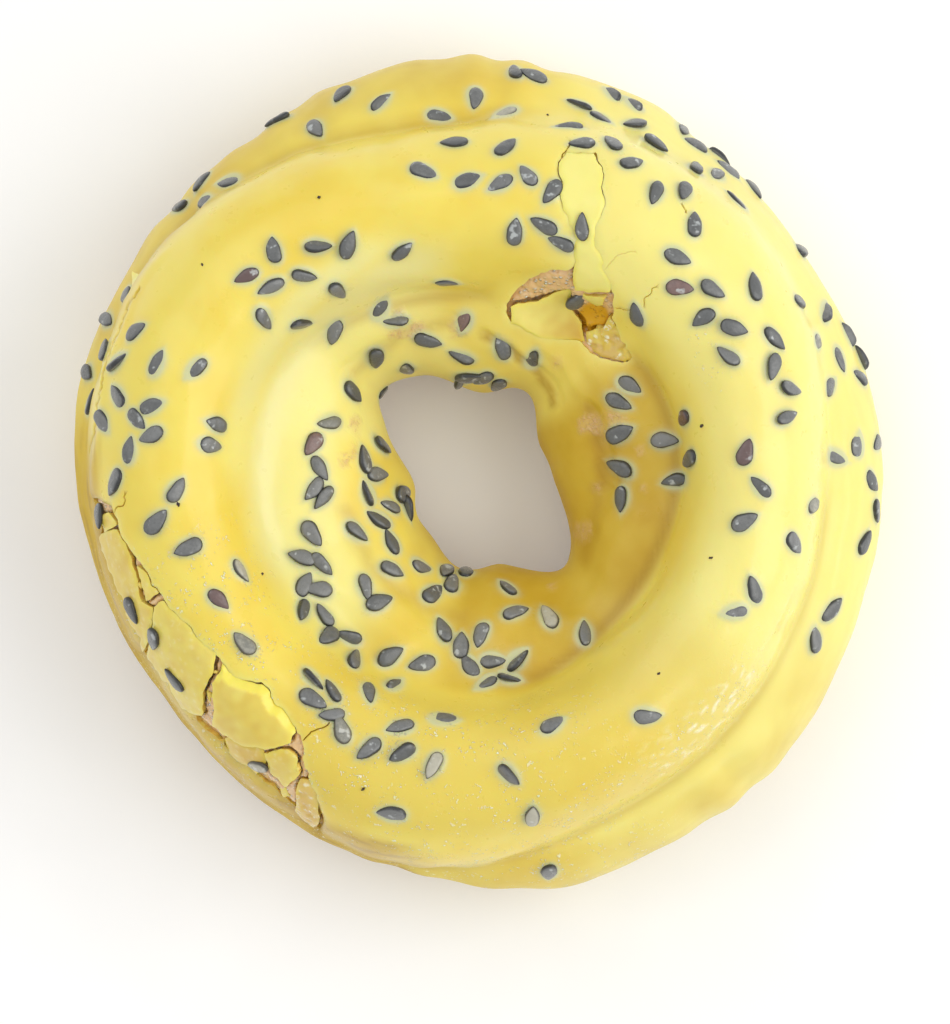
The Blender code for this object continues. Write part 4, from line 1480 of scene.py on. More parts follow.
BROKEN_PIECES: tuple[BrokenPiece, ...] = (
    BrokenPiece("flank_plate_1", 0.15, 2.0, 0.0, (
        (-43.9, -4.6), (-42.0, -4.4), (-41.2, -6.1), (-42.9, -6.8)), inset=-0.05),
    BrokenPiece("flank_plate_2", 0.12, -2.0, 1.0, (
        (-42.9, -7.0), (-41.2, -6.7), (-40.0, -9.2), (-39.1, -12.2), (-38.7, -14.5), (-37.3, -15.3),
        (-37.3, -17.0), (-38.2, -20.2), (-40.5, -14.3), (-42.9, -8.7)), inset=-0.22, stain=0.25),
    BrokenPiece("flank_plate_3", 0.20, 5.0, 0.0, (
        (-38.9, -10.6), (-37.6, -11.6), (-36.3, -13.9), (-37.9, -14.3), (-38.5, -12.2)), inset=-0.08),
    BrokenPiece("flank_plate_4", 0.10, -1.0, 1.0, (
        (-36.8, -15.2), (-35.6, -14.9), (-33.8, -16.6), (-32.2, -18.3), (-29.9, -20.8), (-30.3, -22.4),
        (-31.3, -24.8), (-31.6, -27.6), (-33.1, -27.3), (-34.8, -25.0), (-37.5, -21.2), (-36.8, -16.8)),
        inset=-0.12, stain=0.1),
    BrokenPiece("flank_plate_5", -0.22, 2.5, -2.0, (
        (-29.1, -21.8), (-27.5, -23.2), (-24.4, -24.0), (-22.4, -26.7), (-20.4, -29.2), (-21.0, -30.3),
        (-23.2, -31.3), (-26.2, -31.2), (-29.1, -30.0), (-30.2, -28.9), (-29.9, -26.2), (-30.0, -23.7)),
        inset=0.0, stain=0.10, amber=0.25, amber_way=215.0, oily=0.0, bevel=0.85),
    BrokenPiece("flank_plate_6", 0.45, -4.0, 0.0, (
        (-28.9, -30.7), (-26.2, -31.7), (-24.9, -31.9), (-24.7, -33.9), (-25.4, -34.2), (-28.4, -31.9)),
        inset=-0.30, stain=0.5),
    BrokenPiece("flank_plate_7", 0.25, 3.0, 3.0, (
        (-24.2, -31.9), (-21.6, -31.5), (-20.6, -32.5), (-20.5, -34.2), (-22.2, -35.9), (-23.9, -34.2)),
        inset=-0.05, stain=0.2),
    BrokenPiece("flank_plate_8", 0.2, -2.0, -2.0, (
        (-20.5, -35.0), (-19.3, -35.4), (-18.2, -39.3), (-18.6, -40.6), (-20.7, -38.6)), inset=-0.20,
        stain=0.6, oily=0.6),
    BrokenPiece("shoulder_sliver", -0.05, 0.0, 0.6, (
        (10.2, 36.0), (9.6, 35.0), (9.5, 31.6), (11.3, 26.3), (11.0, 23.3), (11.4, 20.9), (14.6, 20.7),
        (14.1, 22.4), (12.8, 26.3), (13.8, 30.9), (13.8, 33.8), (12.9, 36.0)), inset=-0.33, stain=-0.1,
        oily=0.0, pale=0.9),
    BrokenPiece("shoulder_flake_1", 0.30, 8.0, 2.0, (
        (3.8, 18.6), (6.8, 19.4), (9.9, 20.3), (9.9, 18.6), (11.7, 16.6), (11.9, 15.0), (7.1, 15.4),
        (5.2, 16.4), (3.9, 17.1)), inset=-0.14, stain=-0.05, amber=1.1, amber_way=-42.0, oily=0.0,
        pale=0.4),
    BrokenPiece("shoulder_flake_2", 0.33, -3.0, -2.0, (
        (12.2, 15.8), (14.0, 16.3), (15.0, 17.6), (16.0, 15.3), (17.7, 13.1), (16.6, 12.6), (13.8, 13.4),
        (12.1, 14.6)), inset=-0.10, stain=0.25, oily=1.0, pale=0.2),
)


LOOSE_CHIPS: tuple[BrokenPiece, ...] = (
    BrokenPiece("shoulder_chip", 0.25, -16.0, 6.0, (
        (11.9, 20.1), (14.1, 19.9), (14.0, 18.7), (13.2, 18.4), (12.2, 18.7)), spacing=0.2, thickness=0.6,
        pale=0.8, stain=-0.1),
    BrokenPiece("flank_shard_1", 0.45, 8.0, 10.0, (
        (-30.9, -24.9), (-30.5, -24.6), (-30.6, -26.0), (-31.1, -26.2)), spacing=0.2, thickness=0.5),
    BrokenPiece("flank_shard_2", 0.4, -10.0, 0.0, (
        (-22.9, -36.2), (-22.0, -36.2), (-21.4, -37.2), (-22.2, -37.3)), spacing=0.2, thickness=0.5),
    BrokenPiece("rim_shard", -0.15, -6.0, 4.0, (
        (-39.7, 21.2), (-39.3, 23.5), (-38.6, 23.0), (-38.9, 20.7)), spacing=0.2, thickness=0.5, pale=0.9,
        stain=-0.1),
)


@dataclass
class Dough:
    """The fried ring under the coat, with bubbly crumb where the coat has broken away.

    Args:
        form: the ring's form.
        breaks: outlines of the breaks in mm.
        covers: outlines of the pieces that lie in them, in mm.
        clock_steps: points round the ring.
        turn_steps: points round the cross-section.
        coat_inset: how far it lies under the coat's outside, in mm.
        crush_depth: how much deeper it is crushed in under the breaks, in mm.
        crushes: clock angle, radius, and half lengths along and across of each crush.
        base_lip: turn angles between which the coat covers it.
        window_spacing: distance in mm between points under a break.
        window_margin: how far such a window reaches beyond the break, in mm.
        longest_side: longest side of a triangle in a window, in mm.
        gap_inset: how far it lies under the skin between the pieces, in mm.
        gap_rise: how much it rises in the middle of a gap, in mm.
        piece_relief: how much deeper it lies below the pieces, in mm.
        amber_pool: x, y and radius of the hollow of glaze that is painted with the amber glow of light shining
            through the coat, in mm.
    """

    form: RingForm
    breaks: list[Array]
    covers: list[Array]
    clock_steps: int = 360
    turn_steps: int = 120
    coat_inset: float = 1.3
    crush_depth: float = 1.1
    crushes: tuple[tuple[float, float, float, float], ...] = ((217, 40.0, 19.0, 5.5), (58, 20.5, 8.0, 5.0))
    base_lip: tuple[float, float] = (-52.0, 222.0)
    window_spacing: float = 0.22
    window_margin: float = 1.3
    longest_side: float = 1.6
    gap_inset: float = 0.97
    gap_rise: float = 0.32
    piece_relief: float = 1.0
    amber_pool: tuple[float, float, float] = (13.1, 17.6, 2.0)

    def inset(self, points: Array, turn: Array) -> Array:
        """How far the dough lies under the coat's outside, in mm.

        Args:
            points: points of the skin in mm.
            turn: their turn angles.

        Returns:
            Depths in mm.
        """
        under = ease(turn, self.base_lip[0], self.base_lip[0] + 5.0)
        under = under * (1.0 - ease(turn, self.base_lip[1] - 9.0, self.base_lip[1]))
        total = self.coat_inset * under
        for clock, radius, along, across in self.crushes:
            angle = math.radians(clock)
            outwards = points[:, 0] * math.cos(angle) + points[:, 1] * math.sin(angle)
            sideways = points[:, 1] * math.cos(angle) - points[:, 0] * math.sin(angle)
            turned = np.arctan2(sideways, outwards) * radius
            inwards = np.hypot(points[:, 0], points[:, 1]) - radius
            spread = (turned / along) ** 4 + (inwards / across) ** 4
            total = total + self.crush_depth * np.exp(-spread / 2.0) * ease(points[:, 2], 9.0, 13.0)
        return total

    def window_inset(self, plan: Array) -> Array:
        """How far the dough lies under the skin in a break: less in the gaps than below the pieces.

        Args:
            plan: places in mm.

        Returns:
            Depths in mm.
        """
        beyond, edge = (
            np.min([outline_distance(plan, outline) for outline in outlines], axis=0)
            for outlines in (self.covers, self.breaks))
        gap = self.gap_inset - self.gap_rise * ease(-edge, 0.05, 0.6)
        deep = self.gap_inset + self.piece_relief
        return gap + (deep - gap) * ease(-beyond, -0.30, 0.30)

    def ring_surface(self, clock: Array, turn: Array) -> Array:
        """Points of the whole ring of dough.

        Args:
            clock, turn: clock and turn angles.

        Returns:
            Points in mm.
        """
        turned = np.mod(turn + 90.0, 360.0) - 90.0
        reach = self.form.reach(clock, turned)
        points = self.form.place(clock, turned, reach)
        crumb = 0.12 * Undulation(51, 3.1).at(points) + 0.07 * Undulation(52, 1.2).at(points)
        inset = self.inset(points, turned)
        covered = np.clip(inset / self.coat_inset, 0.0, 1.0)
        placed = self.form.place(clock, turned, reach - inset + covered * np.minimum(crumb, 0.1))
        base = (turned < self.base_lip[0]) | (turned > self.base_lip[1])
        placed[:, 2] = np.where(base, np.maximum(placed[:, 2], 0.0), placed[:, 2])
        return placed

    def window_surface(self, clock: Array, turn: Array) -> Array:
        """Points of the bubbly crumb that shows in a break.

        Args:
            clock, turn: clock and turn angles.

        Returns:
            Points in mm.
        """
        points = self.form.skin(clock, turn)
        crumb = 0.07 * Undulation(54, 2.2).at(points) + 0.07 * Undulation(52, 0.9).at(points)
        pool = self.from_pool(points)
        crumb = crumb * ease(pool, 0.7, 1.2)
        hollow = 0.35 * bell(pool, 0.8)
        return self.form.skin(clock, turn, self.window_inset(points[:, :2]) + hollow - np.minimum(crumb, 0.09))

    def from_pool(self, points: Array) -> Array:
        """Distance of points from the middle of the amber pool, in its radii."""
        return away_from(points, self.amber_pool[:2]) / self.amber_pool[2]

    def window(self, chart: SkinChart, outline: Array) -> tuple[Array, Array]:
        """Mesh the crumb under a break.

        Args:
            chart: flat chart of the skin.
            outline: the break's outline in mm.

        Returns:
            Points in mm and triangles.
        """
        low, high = outline.min(axis=0) - self.window_margin, outline.max(axis=0) + self.window_margin
        count = np.maximum(((high - low) / self.window_spacing).astype(int), 2)
        x, y = np.meshgrid(*(np.linspace(low[side], high[side], count[side]) for side in (0, 1)))
        plan = np.stack((x.ravel(), y.ravel()), axis=-1)
        plan = plan[outline_distance(plan, outline) < self.window_margin]
        flat, triangles = chart_mesh(chart.from_plan(plan), [])
        corners = flat[triangles]
        scale = chart.radius(corners[:, :, 1].mean(axis=1))[:, None]
        sides = np.linalg.norm(corners - np.roll(corners, 1, axis=1), axis=2) * scale
        return self.window_surface(*chart.to_angles(flat)), triangles[sides.max(axis=1) < self.longest_side]

    def build(self) -> Object:
        """Mesh the whole dough with a finer window under each break."""
        clocks = np.arange(self.clock_steps) * 360.0 / self.clock_steps
        turns = np.arange(self.turn_steps) * 360.0 / self.turn_steps - 60.0
        grid_clock = np.repeat(clocks, self.turn_steps)
        grid_turn = np.tile(turns, self.clock_steps)
        points = [self.ring_surface(grid_clock, grid_turn)]
        index = np.arange(self.clock_steps * self.turn_steps).reshape(self.clock_steps, self.turn_steps)
        beyond = np.roll(index, -1, axis=0)
        quads = np.stack((index, beyond, np.roll(beyond, -1, axis=1), np.roll(index, -1, axis=1)), axis=-1)
        faces = [tuple(face) for face in quads.reshape(-1, 4)]
        chart = SkinChart(self.form, *CHART_SPAN)
        for outline in self.breaks:
            crumb, triangles = self.window(chart, outline)
            faces += [tuple(face) for face in triangles + sum(len(block) for block in points)]
            points.append(crumb)
        joined = np.concatenate(points)
        obj = mesh_object("fried_dough", joined, faces)
        clock, radius = plan_polar(joined)
        height = joined[:, 2]
        open_crumb = strongest(clock, (
            (1.0, 40, 75, 8.0, (radius < 38.0) * (height > 8.0)), (1.0, 180, 250, 6.0, height > 9.0)))
        add_field(obj, "sugared", open_crumb)
        # Painted glow: amber in the hollow where light shines through the coat, over the glaze.
        add_field(obj, "amber", open_crumb * (1.0 - ease(self.from_pool(joined), 0.8, 1.1)))
        add_field(obj, "fried", 1.0 - ease(height, 1.0, 7.0))
        remove_loose(obj)
        return obj


@dataclass
class Specks:
    """Dark specks and small yellow crumbs that lie on the coat and in the breaks."""

    form: RingForm
    seed: int = 77
    speck_places: tuple[tuple[float, float], ...] = (
        (143, 39.0), (186, 34.0), (272, 21.8), (79, 41.7), (12, 25.9), (120, 36.0), (312, 30.5),
        (250, 38.0), (205, 27.0), (96, 30.0), (340, 28.0), (228, 36.5))
    crumb_places: tuple[tuple[float, float, float], ...] = (
        (61.5, 22.3, 0.35), (219.6, 39.6, 0.45), (238.5, 39.3, 0.55),
        (198.4, 40.6, 0.4), (244.5, 40.4, 0.4), (217.2, 37.4, 0.35))

    def lump(self, place: Array, size: tuple[float, float, float], draw: random.Random) -> bmesh.types.BMesh:
        """An uneven little lump at a place.

        Args:
            place: its centre in mm.
            size: half sizes in mm.
            draw: random numbers for its shape.

        Returns:
            Its mesh, in metres.
        """
        shape = bmesh.new()
        bmesh.ops.create_icosphere(shape, subdivisions=2, radius=1.0)
        turned = Matrix.Rotation(draw.uniform(0.0, math.tau), 3, "Z")
        for vert in shape.verts:
            uneven = 1.0 + 0.22 * math.sin(5.0 * vert.co.x + 3.0 * vert.co.y + place[0])
            local = turned @ Vector((vert.co.x * size[0], vert.co.y * size[1], vert.co.z * size[2])) * uneven
            vert.co = (Vector(place) + local) * MM
        return shape

    def build(self, name: str, places: list[tuple[float, float, tuple[float, float, float], float]]) -> Object:
        """Join lumps into one object.

        Args:
            name: the object's name.
            places: clock, radius, half sizes and sinking of each lump, in degrees and mm.

        Returns:
            The linked object.
        """
        draw = random.Random(self.seed)
        joined = bmesh.new()
        mesh = bpy.data.meshes.new(name)
        for clock, radius, size, sink in places:
            turn = self.form.turn_under(np.array([clock]), np.array([radius]))
            lump = self.lump(self.form.skin(np.array([clock]), turn, sink)[0], size, draw)
            lump.to_mesh(mesh)
            joined.from_mesh(mesh)
            lump.free()
        joined.to_mesh(mesh)
        joined.free()
        mesh.shade_smooth()
        return linked(name, mesh)

    def build_specks(self) -> Object:
        """Dark specks of scorched sesame."""
        draw = random.Random(self.seed + 1)
        return self.build("dark_specks", [
            (clock, radius, (draw.uniform(0.16, 0.3), draw.uniform(0.12, 0.2), 0.1), -0.02)
            for clock, radius in self.speck_places])

    def build_crumbs(self) -> Object:
        """Small crumbs of coat in the breaks."""
        draw = random.Random(self.seed + 2)
        return self.build("coat_crumbs", [
            (clock, radius, (size, size * draw.uniform(0.55, 0.8), size * 0.55), 0.5)
            for clock, radius, size in self.crumb_places])


class Signal:
    """A shader value on which Python's operators add Math nodes."""

    def __init__(self, board: "Board", socket: Socket) -> None:
        """Wrap an output socket of a board."""
        self.board = board
        self.socket = socket

    def math(self, operation: str, first: "Signal | float", second: "Signal | float") -> "Signal":
        """Result of one Math node on two values."""
        made = self.board.node("ShaderNodeMath", {"operation": operation}, {0: first, 1: second})
        return Signal(self.board, made.outputs[0])

    def __add__(self, other: "Signal | float") -> "Signal":
        """Sum."""
        return self.math("ADD", self, other)

    def __sub__(self, other: "Signal | float") -> "Signal":
        """Difference."""
        return self.math("SUBTRACT", self, other)

    def __rsub__(self, other: float) -> "Signal":
        """Difference with a number first."""
        return self.math("SUBTRACT", other, self)

    def __mul__(self, other: "Signal | float") -> "Signal":
        """Product."""
        return self.math("MULTIPLY", self, other)

    def __pow__(self, other: float) -> "Signal":
        """Power."""
        return self.math("POWER", self, other)

    __radd__ = __add__
    __rmul__ = __mul__

    def larger(self, other: "Signal | float") -> "Signal":
        """The larger of two values."""
        return self.math("MAXIMUM", self, other)

    def step(self, low: float, high: float) -> "Signal":
        """Smooth step from 0 at low to 1 at high."""
        made = self.board.node(
            "ShaderNodeMapRange", {"interpolation_type": "SMOOTHSTEP"},
            {"Value": self, "From Min": low, "From Max": high})
        return Signal(self.board, made.outputs[0])


class Board:
    """The node tree of one material."""

    def __init__(self, name: str) -> None:
        """Start an empty material."""
        self.material = bpy.data.materials.new(name)
        self.material.use_nodes = True
        self.tree = self.material.node_tree
        self.tree.nodes.clear()

    def node(self, kind: str, settings: dict | None = None, sockets: dict | None = None) -> bpy.types.Node:
        """Add a node.

        Args:
            kind: the node's type.
            settings: its properties, set first.
            sockets: values or links by socket name or number.

        Returns:
            The node.
        """
        made = self.tree.nodes.new(kind)
        for name, value in (settings or {}).items():
            setattr(made, name, value)
        for name, value in (sockets or {}).items():
            self.feed(made.inputs[name], value)
        return made

    def feed(self, socket: Socket, value: object) -> None:
        """Set or link one input socket.

        Args:
            socket: the socket.
            value: a number, colour, socket or signal.
        """
        if isinstance(value, Signal):
            self.tree.links.new(value.socket, socket)
        elif isinstance(value, Socket):
            self.tree.links.new(value, socket)
        elif isinstance(value, tuple) and socket.type == "RGBA":
            socket.default_value = (*value, 1.0)
        else:
            socket.default_value = value

    def place(self) -> Socket:
        """The object's own coordinates in metres."""
        return self.node("ShaderNodeTexCoord").outputs["Object"]

    def field(self, name: str) -> Signal:
        """A number stored on the mesh."""
        made = self.node("ShaderNodeAttribute", {"attribute_name": name})
        return Signal(self, made.outputs["Fac"])

    def noise(self, size: float, detail: float = 3.0, rough: float = 0.55) -> Signal:
        """Cloudy noise around 0.5 with lumps of a size in mm.

        Args:
            size: size of the lumps in mm.
            detail: how many finer layers it has.
            rough: how strong those are.

        Returns:
            The noise.
        """
        made = self.node(
            "ShaderNodeTexNoise", None,
            {"Vector": self.place(), "Scale": 1.0 / (size * MM), "Detail": detail, "Roughness": rough})
        return Signal(self, made.outputs["Fac"])

    def cells(self, size: float, feature: str = "F1") -> Signal:
        """Distance in a cell pattern with cells of a size in mm."""
        made = self.node(
            "ShaderNodeTexVoronoi", {"feature": feature}, {"Vector": self.place(), "Scale": 1.0 / (size * MM)})
        return Signal(self, made.outputs["Distance"])

    def blend(self, first: object, second: object, factor: Signal | float) -> Socket:
        """Colour between two colours."""
        made = self.node(
            "ShaderNodeMix", {"data_type": "RGBA", "clamp_factor": True}, {0: factor, 6: first, 7: second})
        return made.outputs[2]

    def layers(self, first: object, *stack: tuple[object, Signal | float]) -> Socket:
        """Colour of a stack of (colour, cover) over a first colour."""
        for colour, cover in stack:
            first = self.blend(first, colour, cover)
        return first

    def bump(self, height: Signal, distance: float, under: Socket | None = None) -> Socket:
        """Surface normal from a height of up to a distance in mm."""
        sockets = {"Height": height, "Distance": distance * MM, "Strength": 1.0}
        if under is not None:
            sockets["Normal"] = under
        return self.node("ShaderNodeBump", None, sockets).outputs["Normal"]

    def finish(self, **sockets: object) -> bpy.types.Material:
        """Close the tree with a Principled shader; names use _ for spaces."""
        named = {name.replace("_", " "): value for name, value in sockets.items()}
        shader = self.node("ShaderNodeBsdfPrincipled", {"subsurface_method": "RANDOM_WALK"}, named)
        output = self.node("ShaderNodeOutputMaterial")
        self.tree.links.new(shader.outputs["BSDF"], output.inputs["Surface"])
        return self.material


@dataclass(frozen=True)
class CoatFinish:
    """Smooth, slightly translucent yellow coat, thin and brownish in places, with painted shade, painted sky sheen
    and painted glints.
    """

    name: str = "yellow_coat"
    body: Colour = srgb(243, 223, 103)
    deep: Colour = srgb(240, 213, 84)
    light: Colour = srgb(248, 240, 152)
    amber: Colour = srgb(206, 169, 46)
    # Brown of the painted crease shade, partly the coat's brownish tint.
    umber: Colour = srgb(172, 130, 30)
    ochre: Colour = srgb(208, 172, 14)
    # Colour of the painted shade on the lower part of the crown.
    dull: Colour = srgb(222, 197, 86)
    brown: Colour = srgb(176, 136, 32)
    pink: Colour = srgb(228, 190, 138)
    # White of the painted glints.
    sparkle: Colour = srgb(255, 251, 218)
    # Colour of the painted sky sheen.
    cool: Colour = srgb(232, 230, 176)
    bloom: Colour = srgb(204, 208, 168)
    roughness: float = 0.30

    def colour(self, board: Board) -> Socket:
        """Colour of the coat from the fields stored on its mesh."""
        fine = board.noise(2.4, 4.0)
        return board.layers(
            self.body,
            (self.deep, board.noise(14.0, 3.0).step(0.42, 0.66)),
            # Paler coat, partly painted light and sheen.
            (self.light, board.field("pale") * 0.8),
            # Amber: thin coat, and painted shade in the funnel and beside the outer crease.
            (self.amber, board.field("thin") * (0.86 + 0.28 * fine)),
            (self.dull, board.field("dull") * 0.55),
            (self.light, board.field("worn") * 0.4),
            (self.ochre, board.field("ochre")),
            (self.brown, board.field("scorch") * (0.5 + 0.5 * fine)),
            (self.umber, board.field("folded") * 0.7),
            (self.cool, board.field("sky") * 0.5),
            (self.pink, self.blisters(board)),
            # Painted glints: white flecks on the oily places.
            (self.sparkle, self.drops(board) * 0.9),
            (self.bloom, board.field("halo") ** 1.3 * 0.85),
            (self.brown, board.field("crack")))

    @staticmethod
    def blisters(board: Board) -> Signal:
        """Ragged pinkish blisters where the coat is thinnest."""
        return board.field("pink") * (0.45 + 0.5 * board.noise(0.8, 4.0, 0.7).step(0.44, 0.62))

    @staticmethod
    def drops(board: Board) -> Signal:
        """Tiny bright flecks, painted glints of oily drops, in the places that the mesh calls oily, and the
        painted gleam streaks.

        Args:
            board: the material's board.

        Returns:
            How strongly they show.
        """
        cloudy = board.noise(2.0, 3.0, 0.6).step(0.48, 0.58)
        flecks = board.noise(0.5, 2.0, 0.6).step(0.61, 0.67)
        spots = flecks.larger(1.0 - board.cells(0.52).step(0.08, 0.26)) * cloudy * board.field("oily")
        return spots.larger(board.field("gleam") * (0.5 + 0.5 * board.noise(0.9, 3.0).step(0.40, 0.60)))

    def material(self) -> bpy.types.Material:
        """Build the material."""
        board = Board(self.name)
        peel = board.noise(1.7, 3.0, 0.5)
        drops = self.drops(board)
        rough = self.roughness + 0.16 * (peel - 0.5) - 0.24 * drops + 0.26 * board.field("matte")
        normal = board.bump(peel, 0.035)
        normal = board.bump(drops + 1.6 * self.blisters(board), 0.12, normal)
        return board.finish(
            Base_Color=self.colour(board), Roughness=rough, Normal=normal, Subsurface_Weight=0.30,
            Subsurface_Radius=(1.0, 0.62, 0.14), Subsurface_Scale=1.1 * MM, Specular_IOR_Level=0.38,
            Coat_Weight=0.18 - 0.18 * board.field("matte"), Coat_Roughness=0.14)


@dataclass(frozen=True)
class BrokenFaceFinish:
    """Dull, grainy face of the coat where it has snapped."""

    name: str = "snapped_coat"
    body: Colour = srgb(245, 226, 116)
    shade: Colour = srgb(234, 200, 92)

    def material(self) -> bpy.types.Material:
        """Build the material."""
        board = Board(self.name)
        grain = board.noise(0.5, 4.0, 0.65)
        return board.finish(
            Base_Color=board.blend(self.shade, self.body, grain.step(0.35, 0.6)),
            Roughness=0.5 + 0.2 * grain, Normal=board.bump(grain, 0.08),
            Subsurface_Weight=0.2, Subsurface_Radius=(1.0, 0.6, 0.2), Subsurface_Scale=0.8 * MM)


@dataclass(frozen=True)
class PieceFinish:
    """Loose pieces of coat: like the coat, a shade deeper, with brown smears and painted white glints on the oily
    ones.
    """

    name: str = "loose_coat"
    body: Colour = srgb(236, 214, 98)
    light: Colour = srgb(243, 228, 124)
    amber: Colour = srgb(212, 160, 44)
    edge: Colour = srgb(248, 232, 92)
    cream: Colour = srgb(249, 242, 146)
    foam: Colour = srgb(255, 252, 226)
    tan: Colour = srgb(222, 188, 118)

    def material(self) -> bpy.types.Material:
        """Build the material."""
        board = Board(self.name)
        fine = board.noise(1.6, 4.0)
        sugar = board.noise(0.6, 3.0, 0.6)
        oily = board.field("oily")
        bubbles = (1.0 - board.cells(0.9).step(0.1, 0.5)) * oily
        colour = board.layers(
            self.body,
            (self.light, board.noise(5.0).step(0.4, 0.62) * 0.5),
            (self.cream, board.field("pale") * 0.8),
            (self.amber, board.field("thin") * (0.8 + 0.4 * fine)),
            (self.edge, board.field("rim") * 0.85),
            (self.tan, oily * board.noise(1.8, 3.0).step(0.38, 0.62) * 0.7),
            # Painted glints: white specks on the bubbly oily pieces.
            (self.foam, bubbles * sugar.step(0.42, 0.52)))
        height = 0.2 * sugar + bubbles
        return board.finish(
            Base_Color=colour, Roughness=0.32 + 0.1 * (sugar - 0.5) - 0.16 * oily,
            Normal=board.bump(height, 0.09),
            Subsurface_Weight=0.25, Subsurface_Radius=(1.0, 0.62, 0.14), Subsurface_Scale=0.9 * MM,
            Coat_Weight=0.15, Coat_Roughness=0.12)


@dataclass(frozen=True)
class DoughFinish:
    """Brown fried dough: matt and blotchy at the base, glossy and bubbly in the breaks, with painted white glints
    and a painted amber glow in the hollow under the shoulder break.
    """

    name: str = "fried_dough_skin"
    gold: Colour = srgb(198, 150, 84)
    brown: Colour = srgb(150, 98, 48)
    dark: Colour = srgb(112, 66, 30)
    glaze: Colour = srgb(252, 226, 184)
    glaze_dark: Colour = srgb(238, 198, 144)
    # White of the painted glints on the crumb.
    sparkle: Colour = srgb(255, 254, 248)
    # Amber glaze in the hollow, painted with the glow of light shining through the coat.
    pool: Colour = srgb(224, 168, 36)

    def material(self) -> bpy.types.Material:
        """Build the material."""
        board = Board(self.name)
        fried = board.field("fried")
        sugared = board.field("sugared")
        blotch = board.noise(7.0, 5.0, 0.6)
        fine = board.noise(1.1, 4.0, 0.6)
        bubbles = 1.0 - board.cells(0.62).step(0.05, 0.60)
        crumb = board.blend(self.glaze_dark, self.glaze, bubbles * 0.7 + 0.6 * (fine - 0.35))
        # Painted glints: small white spots on the sugary crumb, also raised as bumps.
        sparks = (1.0 - board.cells(0.62).step(0.18, 0.34)) * board.noise(1.3, 3.0).step(0.44, 0.52)
        colour = board.layers(
            self.gold,
            (self.brown, (blotch + 0.35 * fried).step(0.4, 0.8)),
            (self.dark, (fine + 0.2 * blotch).step(0.62, 0.85) * 0.6),
            (board.blend(crumb, self.sparkle, sparks), sugared),
            (self.pool, board.field("amber")))
        rough = 0.62 - 0.46 * sugared + 0.12 * (fine - 0.5)
        height = fine * 0.4 + bubbles * sugared * (1.0 - board.field("amber"))
        return board.finish(
            Base_Color=colour, Roughness=rough, Normal=board.bump(height + sparks, 0.16),
            Coat_Weight=0.5 * sugared, Coat_Roughness=0.08, Subsurface_Weight=0.12,
            Subsurface_Radius=(1.0, 0.6, 0.25), Subsurface_Scale=0.8 * MM)


@dataclass(frozen=True)
class SesameFinish:
    """Skin of one kind of sesame: lighter middle, dark rim, faint streaks, pale scuffs with painted glints."""

    kind: SesameKind
    middle: Colour
    shade: Colour
    rim: Colour
    scuff: Colour = srgb(206, 211, 210)
    roughness: float = 0.30

    def material(self) -> bpy.types.Material:
        """Build the material."""
        board = Board("sesame_skin_" + self.kind.value)
        edge = board.field("edge")
        tone = board.field("tone")
        mottle = board.noise(0.5, 4.0, 0.65)
        # Pale patches: scuffs, and painted glints on the seeds.
        scuffed = board.noise(1.1, 2.0).step(0.61, 0.71) * (1.0 - edge)
        colour = board.layers(
            self.middle,
            (self.shade, (mottle * 0.7 + tone * 0.5).step(0.3, 0.85)),
            (self.rim, edge.step(0.22, 0.86)),
            (self.scuff, scuffed * 0.65))
        return board.finish(
            Base_Color=colour, Roughness=self.roughness + 0.2 * (mottle - 0.5) - 0.1 * scuffed,
            Normal=board.bump(mottle, 0.11), Specular_IOR_Level=0.5, Coat_Weight=0.4, Coat_Roughness=0.2)


SESAME_FINISHES: tuple[SesameFinish, ...] = (
    SesameFinish(SesameKind.SLATE, srgb(122, 123, 122), srgb(92, 94, 94), srgb(46, 48, 50)),
    SesameFinish(SesameKind.PLUM, srgb(136, 110, 104), srgb(102, 82, 80), srgb(56, 46, 48)),
    SesameFinish(SesameKind.FROSTED, srgb(186, 182, 164), srgb(124, 124, 116), srgb(78, 76, 70),
                 srgb(214, 214, 206), 0.45),
)


@dataclass(frozen=True)
class PlainFinish:
    """A small thing's finish: one grainy colour.

    Args:
        name: the material's name.
        light: colour of its high grains.
        dark: colour of its low grains.
        grain: size of the grain in mm.
        roughness: roughness of the surface.
    """

    name: str
    light: Colour
    dark: Colour
    grain: float
    roughness: float

    def material(self) -> bpy.types.Material:
        """Build the material."""
        board = Board(self.name)
        grain = board.noise(self.grain, 3.0)
        return board.finish(
            Base_Color=board.blend(self.dark, self.light, grain.step(0.35, 0.65)),
            Roughness=self.roughness + 0.1 * (grain - 0.5), Normal=board.bump(grain, 0.04 * self.grain))


@dataclass(frozen=True)
class FloorFinish:
    """Plain pale table, faintly lit from inside."""

    name: str = "pale_floor"
    light: Colour = srgb(250, 250, 250)
    dark: Colour = srgb(247, 247, 247)
    glow: float = 0.08

    def material(self) -> bpy.types.Material:
        """Build the material."""
        board = Board(self.name)
        return board.finish(
            Base_Color=board.blend(self.dark, self.light, board.noise(40.0).step(0.4, 0.6)),
            Roughness=0.85, Emission_Color=self.light, Emission_Strength=self.glow)


